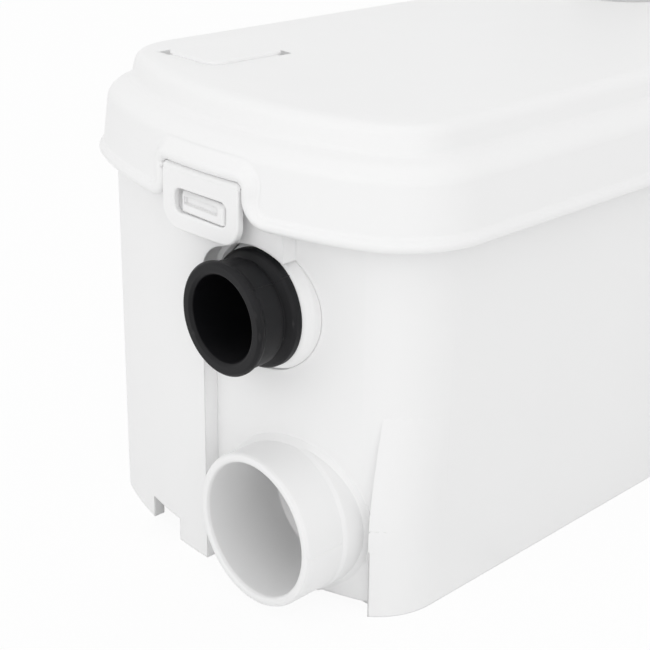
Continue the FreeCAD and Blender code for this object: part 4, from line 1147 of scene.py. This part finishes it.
@dataclass(frozen=True)
class LatchPlate:
    """Latch plate with eased edges, its slot and its hinge barrel.

    Args:
        face_x: Distance of the outer face from the middle of the tank.
        corners: Corner radii of the plate, from the lower -Y one.
        slot_z: Height of the slot's middle.
        slot_flat: Height of the flat part of the slot's ends.
        pin_back: How far the pin lies behind the face.
        pin_radius: Radius of the pin's hole.
        barrel_reach: How far the barrel runs on beyond the plate towards +Y.
        set_in: How far the plate lies back at its +Y edge.
        tilt: Slope in plan by which it follows the bowed end.
    """

    width: float = 33.6
    thickness: float = 2.6
    face_x: float = 149.7
    middle_y: float = -4.95
    top_z: float = 134.9
    low_z: float = 115.9
    corners: tuple[float, float, float, float] = (7.0, 7.0, 1.0, 1.0)
    ease: float = 0.7
    ease_steps: int = 4
    slot_y: float = -5.0
    slot_z: float = 125.35
    slot_size: Pair = (23.0, 7.8)
    slot_flat: float = 3.0
    pin_z: float = 134.9
    pin_back: float = 1.8
    pin_radius: float = 0.6
    barrel: float = 1.8
    barrel_reach: float = 0.3
    chamfer: float = 1.0
    set_in: float = 0.46
    tilt: float = 0.0456

    @property
    def edge_y(self) -> float:
        """Place across of the plate's -Y edge."""
        return self.middle_y - self.width / 2

    def back_at(self, y: float) -> float:
        """How far the plate lies back at a place across."""
        return self.set_in + self.tilt * (self.edge_y + self.width - y)

    def pin_spot(self, end: End, y: float) -> Vector:
        """Point on the pin's axis, before the tilt."""
        return Vector((end.value * (self.face_x - self.pin_back), y, self.pin_z))

    def build(self, end: End, look: Material) -> Piece:
        """Makes one end's latch.

        Args:
            end: Which end.
            look: Its material.

        Returns:
            The latch's object.
        """
        sketch = Sketch()
        outer = rounded_loop((self.edge_y, self.low_z), (self.edge_y + self.width, self.top_z), self.corners)
        across, up = self.slot_size
        inner = rounded_loop((self.slot_y - across / 2, self.slot_z - up / 2),
                             (self.slot_y + across / 2, self.slot_z + up / 2), ((up - self.slot_flat) / 2,) * 4)
        turns = [QUARTER * k / self.ease_steps for k in range(self.ease_steps + 1)]
        front = [(self.ease * (1 - math.cos(turn)), self.ease * (1 - math.sin(turn))) for turn in turns]
        levels = front + [(self.thickness - depth, pull) for depth, pull in reversed(front)]
        rows = []
        for loop, side, order in ((outer, -1, levels), (inner, 1, reversed(levels))):
            for depth, pull in order:
                rows.append([Vector((end.value * (self.face_x - depth), y + side * ny * pull, z + side * nz * pull))
                             for y, z, ny, nz in loop])
        sketch.grid(rows, round_u=True, round_v=True)
        low, length = self.barrel - self.chamfer, self.width + self.barrel_reach
        profile = eased([(0.0, low, 0.0), (self.chamfer, self.barrel, 0.4), (length - self.chamfer, self.barrel, 0.4),
                         (length, low, 0.0), (length, self.pin_radius, 0.0), (0.0, self.pin_radius, 0.0)],
                        closed=True)
        sketch.turned(profile, self.pin_spot(end, self.edge_y), Vector((0, 1, 0)), UP, 32)
        for vert in sketch.mesh.verts:
            vert.co.x -= end.value * self.back_at(vert.co.y)
        sketch.face_outward()
        body = Body.LEFT_LATCH if end is End.LEFT else Body.RIGHT_LATCH
        return sketch.finish(f"{end.label}_latch_plate", body, "white_shell", look, (f"{end.label}_latch",))


@dataclass(frozen=True)
class LatchPins:
    """Steel pins on which the latch plates hang.

    Args:
        from_y: Place across of its first end.
        to_y: Place across of its other end, in the rim's roll.
    """

    radius: float = 0.5
    ease: float = 0.15
    from_y: float = -24.0
    to_y: float = 13.4
    plate: LatchPlate = LatchPlate()

    def build(self, look: Material) -> Piece:
        """Makes both pins.

        Args:
            look: Its material.

        Returns:
            The piece.
        """
        sketch = Sketch()
        length, tip = self.to_y - self.from_y, 0.02
        profile = eased([(0.0, tip, 0.0), (0.0, self.radius, self.ease), (length, self.radius, self.ease),
                         (length, tip, 0.0)], 3, closed=True)
        for end in End:
            back = Vector((end.value * self.plate.back_at(self.from_y), 0, 0))
            along = Vector((end.value * self.plate.tilt, 1, 0)).normalized()
            sketch.turned(profile, self.plate.pin_spot(end, self.from_y) - back, along, UP, 24)
        sketch.face_outward()
        return sketch.finish("latch_pin_pair", Body.LID, "steel", look, ("latch_pins",))


@dataclass(frozen=True)
class VentPad:
    """Vent cover: a low pad with an eased upper edge over a plug in the lid's seat.

    Args:
        lid_z: Height of the lid's crown.
        proud: How far the pad stands above it.
        plug_z: Height of the plug's foot.
        crown: (inset, rise) of the slight crown inside the edge.
    """

    middle: Pair = (-102.0, 37.9)
    size: Pair = (31.6, 25.4)
    corner: float = 5.0
    lid_z: float = 158.61
    proud: float = 0.9
    ease: float = 0.6
    ease_steps: int = 5
    lip: float = 1.5
    plug_z: float = 157.0
    crown: Pair = (2.5, 0.02)

    def build(self, look: Material) -> Piece:
        """Makes the cover.

        Args:
            look: Its material.

        Returns:
            The piece.
        """
        (x, y), half, top = self.middle, (self.size[0] / 2, self.size[1] / 2), self.lid_z + self.proud
        loop = rounded_loop((x - half[0], y - half[1]), (x + half[0], y + half[1]), (self.corner,) * 4)
        levels = [(self.lip, self.plug_z), (self.lip, self.lid_z), (0.0, self.lid_z), (0.0, top - self.ease)]
        for k in range(1, self.ease_steps + 1):
            turn = QUARTER * k / self.ease_steps
            levels.append((self.ease * (1 - math.cos(turn)), top - self.ease * (1 - math.sin(turn))))
        levels.append((self.crown[0], top + self.crown[1]))
        sketch = Sketch()
        sketch.capped([[Vector((x - nx * inset, y - ny * inset, z)) for x, y, nx, ny in loop] for inset, z in levels])
        sketch.face_outward()
        return sketch.finish("vent_cover_pad", Body.VENT_COVER, "white_shell", look, ("vent_cover",))


@dataclass(frozen=True)
class TankEnd:
    """Walls of the tank's ends.

    Args:
        plan: Outline of the tank at its foot.
        draft: Lean of the walls.
        set_back: Depth of the recess.
    """

    plan: PlanOutline = PlanOutline(142.05, 70.1, 149.0, 24.0)
    draft: float = 0.012
    set_back: float = 5.2

    def recess_x(self, y: float, z: float) -> float:
        """Distance of the recess's wall from the middle of the tank at a place."""
        return self.plan.end_x(y, -self.draft * z) - self.set_back


@dataclass(frozen=True)
class FootSlope:
    """Slope by which a tank's corner foot fades into the set-back corner above it.

    Args:
        low_z: Height where the slope starts.
        cover_z: Height from which it lies over the foot's wall.
        fall_z: Height from which it falls back.
        high_z: Height where it ends.
        depth: How far it falls back.
        hollow: Power by which it falls back.
        proud: How far it lies over the foot's wall.
        run: How far it runs on along the side wall.
        sink: Slope at which it dips into the side wall there.
        top_sink: How far its top lies in the side wall.
        side_y: Place across of the foot's inner side.
        inner_sink: How far the slope's inner edge lies in the set-back wall.
        core: Size along and across of the part inside the tank.
    """

    tank: TankEnd = TankEnd()
    low_z: float = 20.0
    cover_z: float = 27.0
    fall_z: float = 28.0
    high_z: float = 70.0
    rows: int = 32
    corner_steps: int = 20
    run_steps: int = 6
    depth: float = 5.6
    hollow: float = 1.4
    proud: float = 0.06
    run: float = 10.0
    sink: float = 0.02
    top_sink: float = 0.12
    side_y: float = -60.9
    inner_sink: float = 0.4
    core: Pair = (9.0, 2.5)

    def _line(self, end: End, z: float, back: float, proud: float) -> list[Vector]:
        """Slope's outline at a height, from the foot's inner side round the corner and along the side wall.

        Args:
            end: Which end.
            z: Height.
            back: How far it has fallen back.
            proud: How far it lies over the wall.

        Returns:
            The points.
        """
        plan = self.tank.plan
        corner_x = plan.touch[1]
        radius = plan.corner + self.tank.draft * z + proud
        first = math.asin((-self.side_y - plan.side) / radius)
        inner_x = corner_x + radius * math.cos(first) - self.tank.set_back - self.inner_sink
        out = [Vector((inner_x, self.side_y, z))]
        for k in range(self.corner_steps + 1):
            turn = first + (QUARTER - first) * k / self.corner_steps
            out.append(Vector((corner_x + radius * math.cos(turn) - back, -plan.side - radius * math.sin(turn), z)))
        for k in range(1, self.run_steps + 1):
            along = self.run * k / self.run_steps
            out.append(Vector((corner_x - back - along, -plan.side - radius + self.sink * along, z)))
        return [Vector((end.value * p.x, p.y, p.z)) for p in out]

    def build(self, end: End, look: Material) -> Piece:
        """Makes one end's slope.

        Args:
            end: Which end.
            look: Its material.

        Returns:
            The slope's object.
        """
        inward = Vector((-end.value * self.core[0], self.core[1], 0))
        rows = []
        for k in range(self.rows + 1):
            z = self.low_z + (self.high_z - self.low_z) * k / self.rows
            fall = max(0.0, (z - self.fall_z) / (self.high_z - self.fall_z))
            rise = min(1.0, (z - self.low_z) / (self.cover_z - self.low_z))
            proud = self.proud * (2 * rise - 1) - (self.proud + self.top_sink) * fall ** 2
            line = self._line(end, z, self.depth * fall ** self.hollow, proud)
            rows.append(line + [line[-1] + inward, line[0] + inward])
        sketch = Sketch()
        sketch.capped(rows)
        sketch.face_outward()
        return sketch.finish(f"{end.label}_foot_slope", Body.TANK, "white_shell", look)


@dataclass(frozen=True)
class SleeveLook:
    """Rubber inlet sleeve with its lip, waist, groove, bevelled collar and moulding line.

    Args:
        mouth: X of the mouth, and the axis's place across and up.
        profile: (distance from the mouth, radius, ease) round the section.
        seam_span: Part of the profile that the moulding line follows.
        seam_turns: Angles of the moulding line from +Y towards +Z, in degrees.
        nub_place: Distance of the nub from the mouth and from the axis.
    """

    mouth: Triple = (-153.95, -21.0, 95.5)
    profile: tuple[Triple, ...] = (
        (0.8, 13.7, 0.4), (0.0, 14.6, 0.4), (0.0, 17.15, 0.4), (0.8, 17.95, 0.4), (2.0, 17.95, 0.4), (3.2, 17.2, 0.6),
        (10.2, 16.8, 0.15), (10.4, 16.0, 0.15), (11.6, 16.0, 0.2), (12.8, 18.15, 0.3), (13.7, 18.85, 0.3),
        (16.0, 18.85, 0.3), (16.0, 17.05, 0.0), (28.0, 17.05, 0.3), (28.0, 13.7, 0.3))
    seam_span: tuple[int, int] = (3, 12)
    seam_turns: Pair = (133.0, -47.0)
    seam: float = 0.13
    nub: float = 0.9
    nub_place: Pair = (14.2, 17.3)

    def build(self, look: Material) -> Piece:
        """Makes the sleeve.

        Args:
            look: Its material.

        Returns:
            The piece.
        """
        sketch = Sketch()
        centre, axis = Vector(self.mouth), Vector((1, 0, 0))
        sketch.turned(eased(list(self.profile), 4, closed=True), centre, axis, Vector((0, 1, 0)), 128)
        outline = eased(list(self.profile[self.seam_span[0]:self.seam_span[1]]), 4)
        arc = [(math.cos(math.pi * k / 8), math.sin(math.pi * k / 8)) for k in range(9)]
        ball = [(-self.nub * along, max(self.nub * radius, 0.02)) for along, radius in arc]
        for turn in self.seam_turns:
            out = Vector((0, math.cos(math.radians(turn)), math.sin(math.radians(turn))))
            sketch.moulding_line([centre + axis * a + out * r for a, r in outline], out, self.seam)
            sketch.turned(ball, centre + axis * self.nub_place[0] + out * self.nub_place[1], out, axis, 16)
        sketch.face_outward()
        return sketch.finish("inlet_sleeve_rubber", Body.TANK, "black_rubber", look, ("inlet_sleeve",), 50.0)


@dataclass(frozen=True)
class InletRoot:
    """Eased root where a lower inlet meets the set-back wall, and the inlet's moulding line.

    Args:
        middle: Place of the inlet's axis across and up.
        ease: Reach of the rounding on the pipe.
        wall_reach: Its reach on the wall.
        buried: How far its edges lie in wall and pipe.
        seam_line: (distance from the middle of the tank, radius) along the moulding line.
        seam_turn: Angle of the moulding line from +Y towards +Z, in degrees.
    """

    middle: Pair = (-31.8, 27.2)
    radius: float = 25.0
    ease: float = 2.6
    wall_reach: float = 2.1
    ease_steps: int = 7
    buried: float = 0.3
    steps: int = 120
    tank: TankEnd = TankEnd()
    seam_line: tuple[Pair, ...] = ((150.37, 22.6), (150.37, 23.7), (149.95, 24.65), (149.15, 25.0), (136.0, 25.0))
    seam_turn: float = 179.0
    seam: float = 0.11

    def _on_wall(self, end: End, out: Vector, radius: float) -> Vector:
        """Point of the set-back wall round the inlet.

        Args:
            end: Which end.
            out: Direction away from the inlet's axis.
            radius: Distance from it.

        Returns:
            The point.
        """
        y, z = self.middle[0] + out.y * radius, self.middle[1] + out.z * radius
        return Vector((end.value * self.tank.recess_x(y, z), y, z))

    def build(self, end: End, look: Material) -> Piece:
        """Makes one end's root and moulding line.

        Args:
            end: Which end.
            look: Its material.

        Returns:
            The piece.
        """
        sketch = Sketch()
        axis = Vector((end.value, 0, 0))
        columns = []
        for i in range(self.steps):
            turn = -2 * math.pi * i / self.steps * end.value
            out = Vector((0, math.cos(turn), math.sin(turn)))
            corner = self._on_wall(end, out, self.radius)
            far, near = self._on_wall(end, out, self.radius + self.wall_reach), corner + axis * self.ease
            line = [bend(far, corner, near, k / self.ease_steps) for k in range(self.ease_steps + 1)]
            columns.append([far - axis * self.buried, *line, near - out * self.buried])
        sketch.grid([list(row) for row in zip(*columns)], round_u=True, round_v=True)
        turn = math.radians(self.seam_turn)
        out = Vector((0, math.cos(turn), math.sin(turn)))
        centre = Vector((0, *self.middle))
        sketch.moulding_line([centre + axis * x + out * r for x, r in self.seam_line], out, self.seam)
        sketch.face_outward()
        return sketch.finish(f"{end.label}_inlet_root", Body.TANK, "white_shell", look, (), 60.0)


@dataclass(frozen=True)
class PhotoCamera:
    """Camera that took the photograph, as fitted to the object's edges.

    Args:
        place: Camera position in metres.
        yaw: Heading from +X towards +Y, in degrees.
        pitch: Angle below the horizon, in degrees.
        roll: Turn about the line of sight, in degrees.
        focal_px: Focal length in picture pixels.
        centre_px: Principal point in picture pixels.
        picture_px: Picture width and height in pixels.
    """

    place: Triple = (-0.42235, -0.34460, 0.27394)
    yaw: float = 41.374
    pitch: float = 18.787
    roll: float = -2.694
    focal_px: float = 1514.37
    centre_px: Pair = (444.79, 212.16)
    picture_px: float = 650.0
    sensor: float = 36.0

    def build(self) -> Piece:
        """Makes the scene's camera.

        Returns:
            The camera.
        """
        yaw, pitch, roll = (math.radians(a) for a in (self.yaw, self.pitch, self.roll))
        forward = Vector((math.cos(pitch) * math.cos(yaw), math.cos(pitch) * math.sin(yaw), -math.sin(pitch)))
        level = forward.cross(UP).normalized()
        down = -level.cross(forward)
        right = math.cos(roll) * level + math.sin(roll) * down
        up = math.sin(roll) * level - math.cos(roll) * down
        turn = Matrix((right, up, -forward)).transposed()
        data = bpy.data.cameras.new("photo_camera")
        data.sensor_width = self.sensor
        data.lens = self.focal_px * self.sensor / self.picture_px
        half = self.picture_px / 2
        data.shift_x = (half - self.centre_px[0]) / self.picture_px
        data.shift_y = (self.centre_px[1] - half) / self.picture_px
        data.clip_start, data.clip_end = 0.01, 20.0
        camera = bpy.data.objects.new("photo_camera", data)
        camera.matrix_world = Matrix.Translation(self.place) @ turn.to_4x4()
        bpy.context.scene.collection.objects.link(camera)
        bpy.context.scene.camera = camera
        return camera


@dataclass(frozen=True)
class Softbox:
    """Soft area light.

    Args:
        place: Position in metres.
        aim: Point it faces.
        size: Width and height in metres.
        power: Watts.
    """

    name: str
    place: Triple
    aim: Triple
    size: Pair
    power: float

    def build(self) -> Piece:
        """Makes the light.

        Returns:
            The light.
        """
        data = bpy.data.lights.new(self.name, "AREA")
        data.shape = "RECTANGLE"
        data.size, data.size_y = self.size
        data.energy = self.power
        lamp = bpy.data.objects.new(self.name, data)
        lamp.location = self.place
        lamp.rotation_mode = "QUATERNION"
        lamp.rotation_quaternion = (Vector(self.aim) - Vector(self.place)).to_track_quat("-Z", "Y")
        bpy.context.scene.collection.objects.link(lamp)
        return lamp


@dataclass(frozen=True)
class Studio:
    """Pale floor, white surroundings and soft lights.

    Args:
        floor_size: Half width of the floor in metres.
        floor_tint: Share of it that the slow tint leaves.
        floor_white: Share of plain white that the camera sees on the floor.
    """

    room_strength: float = 0.80
    floor_size: float = 4.0
    floor_colour: Colour = (0.9, 0.9, 0.9)
    floor_tint: float = 0.99
    floor_white: float = 0.93
    floor_rough: float = 0.9
    boxes: tuple[Softbox, ...] = (
        Softbox("left_box", (-1.5, 0.25, 0.75), (0, 0, 0.08), (1.2, 1.2), 2.8),
        Softbox("front_box", (-0.75, -1.25, 0.35), (0, 0, 0.06), (1.4, 0.9), 2.6),
        Softbox("top_box", (-0.1, -0.2, 1.6), (0, 0, 0.08), (1.6, 1.6), 2.6),
    )

    @staticmethod
    def _seen(wiring: Wiring) -> Socket:
        """Adds a mask that is 1 for what the camera, a reflection or glass sees.

        Args:
            wiring: Node tree to add to.

        Returns:
            The mask's socket.
        """
        path = wiring.add("LightPath").outputs
        mirrored = wiring.combine("MAXIMUM", path["Is Camera Ray"], path["Is Glossy Ray"])
        return wiring.combine("MAXIMUM", mirrored, path["Is Transmission Ray"])

    def _room(self) -> None:
        """Makes the world: soft white light, plain white to the camera."""
        world = bpy.data.worlds.new("white_room")
        world.use_nodes = True
        wiring = Wiring(world.node_tree)
        strength = wiring.add("MapRange", Value=self._seen(wiring), To_Min=self.room_strength, To_Max=1.0)
        wiring.feed(wiring.tree.nodes["Background"], Color=(1, 1, 1, 1), Strength=strength.outputs["Result"])
        bpy.context.scene.world = world

    def _paper(self) -> Material:
        """Makes the floor's material, which keeps a faint shadow under plain white.

        Returns:
            The material.
        """
        sheet = ShaderSheet("studio_floor_paper")
        shade = tuple(c * self.floor_tint for c in self.floor_colour)
        base = sheet.blend(sheet.effect(Effect.GRAIN).outputs["Tint"], self.floor_colour, shade)
        sheet.feed(sheet.shader, Base_Color=base, Roughness=self.floor_rough)
        white = sheet.combine("MULTIPLY", self._seen(sheet), self.floor_white)
        glow = sheet.add("Emission").outputs["Emission"]
        mix = sheet.add("MixShader", white, sheet.shader.outputs["BSDF"], glow)
        sheet.feed(sheet.tree.nodes["Material Output"], Surface=mix.outputs["Shader"])
        return sheet.material

    def build(self) -> None:
        """Makes the room, the floor and the lights."""
        self._room()
        mesh = bpy.data.meshes.new("studio_floor")
        corners = [(x * self.floor_size, y * self.floor_size, 0) for x, y in ((-1, -1), (1, -1), (1, 1), (-1, 1))]
        mesh.from_pydata(corners, [], [(0, 1, 2, 3)])
        mesh.materials.append(self._paper())
        floor = bpy.data.objects.new("studio_floor", mesh)
        bpy.context.scene.collection.objects.link(floor)
        for softbox in self.boxes:
            softbox.build()
        bpy.context.scene.view_settings.view_transform = "Standard"
        log.info("studio with %d lights", len(self.boxes))


def main() -> None:
    """Builds the whole scene."""
    PhotoCamera().build()
    Studio().build()
    wardrobe = Wardrobe()
    wardrobe.dress_nodes()
    fine_shell = FINE_SHELL.build()
    LidShell().build(fine_shell)
    for end in End:
        for part in (LatchPlate(), InletRoot(), FootSlope()):
            part.build(end, fine_shell)
    LatchPins().build(wardrobe.looks["steel"])
    VentPad().build(fine_shell)
    SleeveLook().build(FINE_RUBBER.build())


if __name__ == "__main__":
    main()
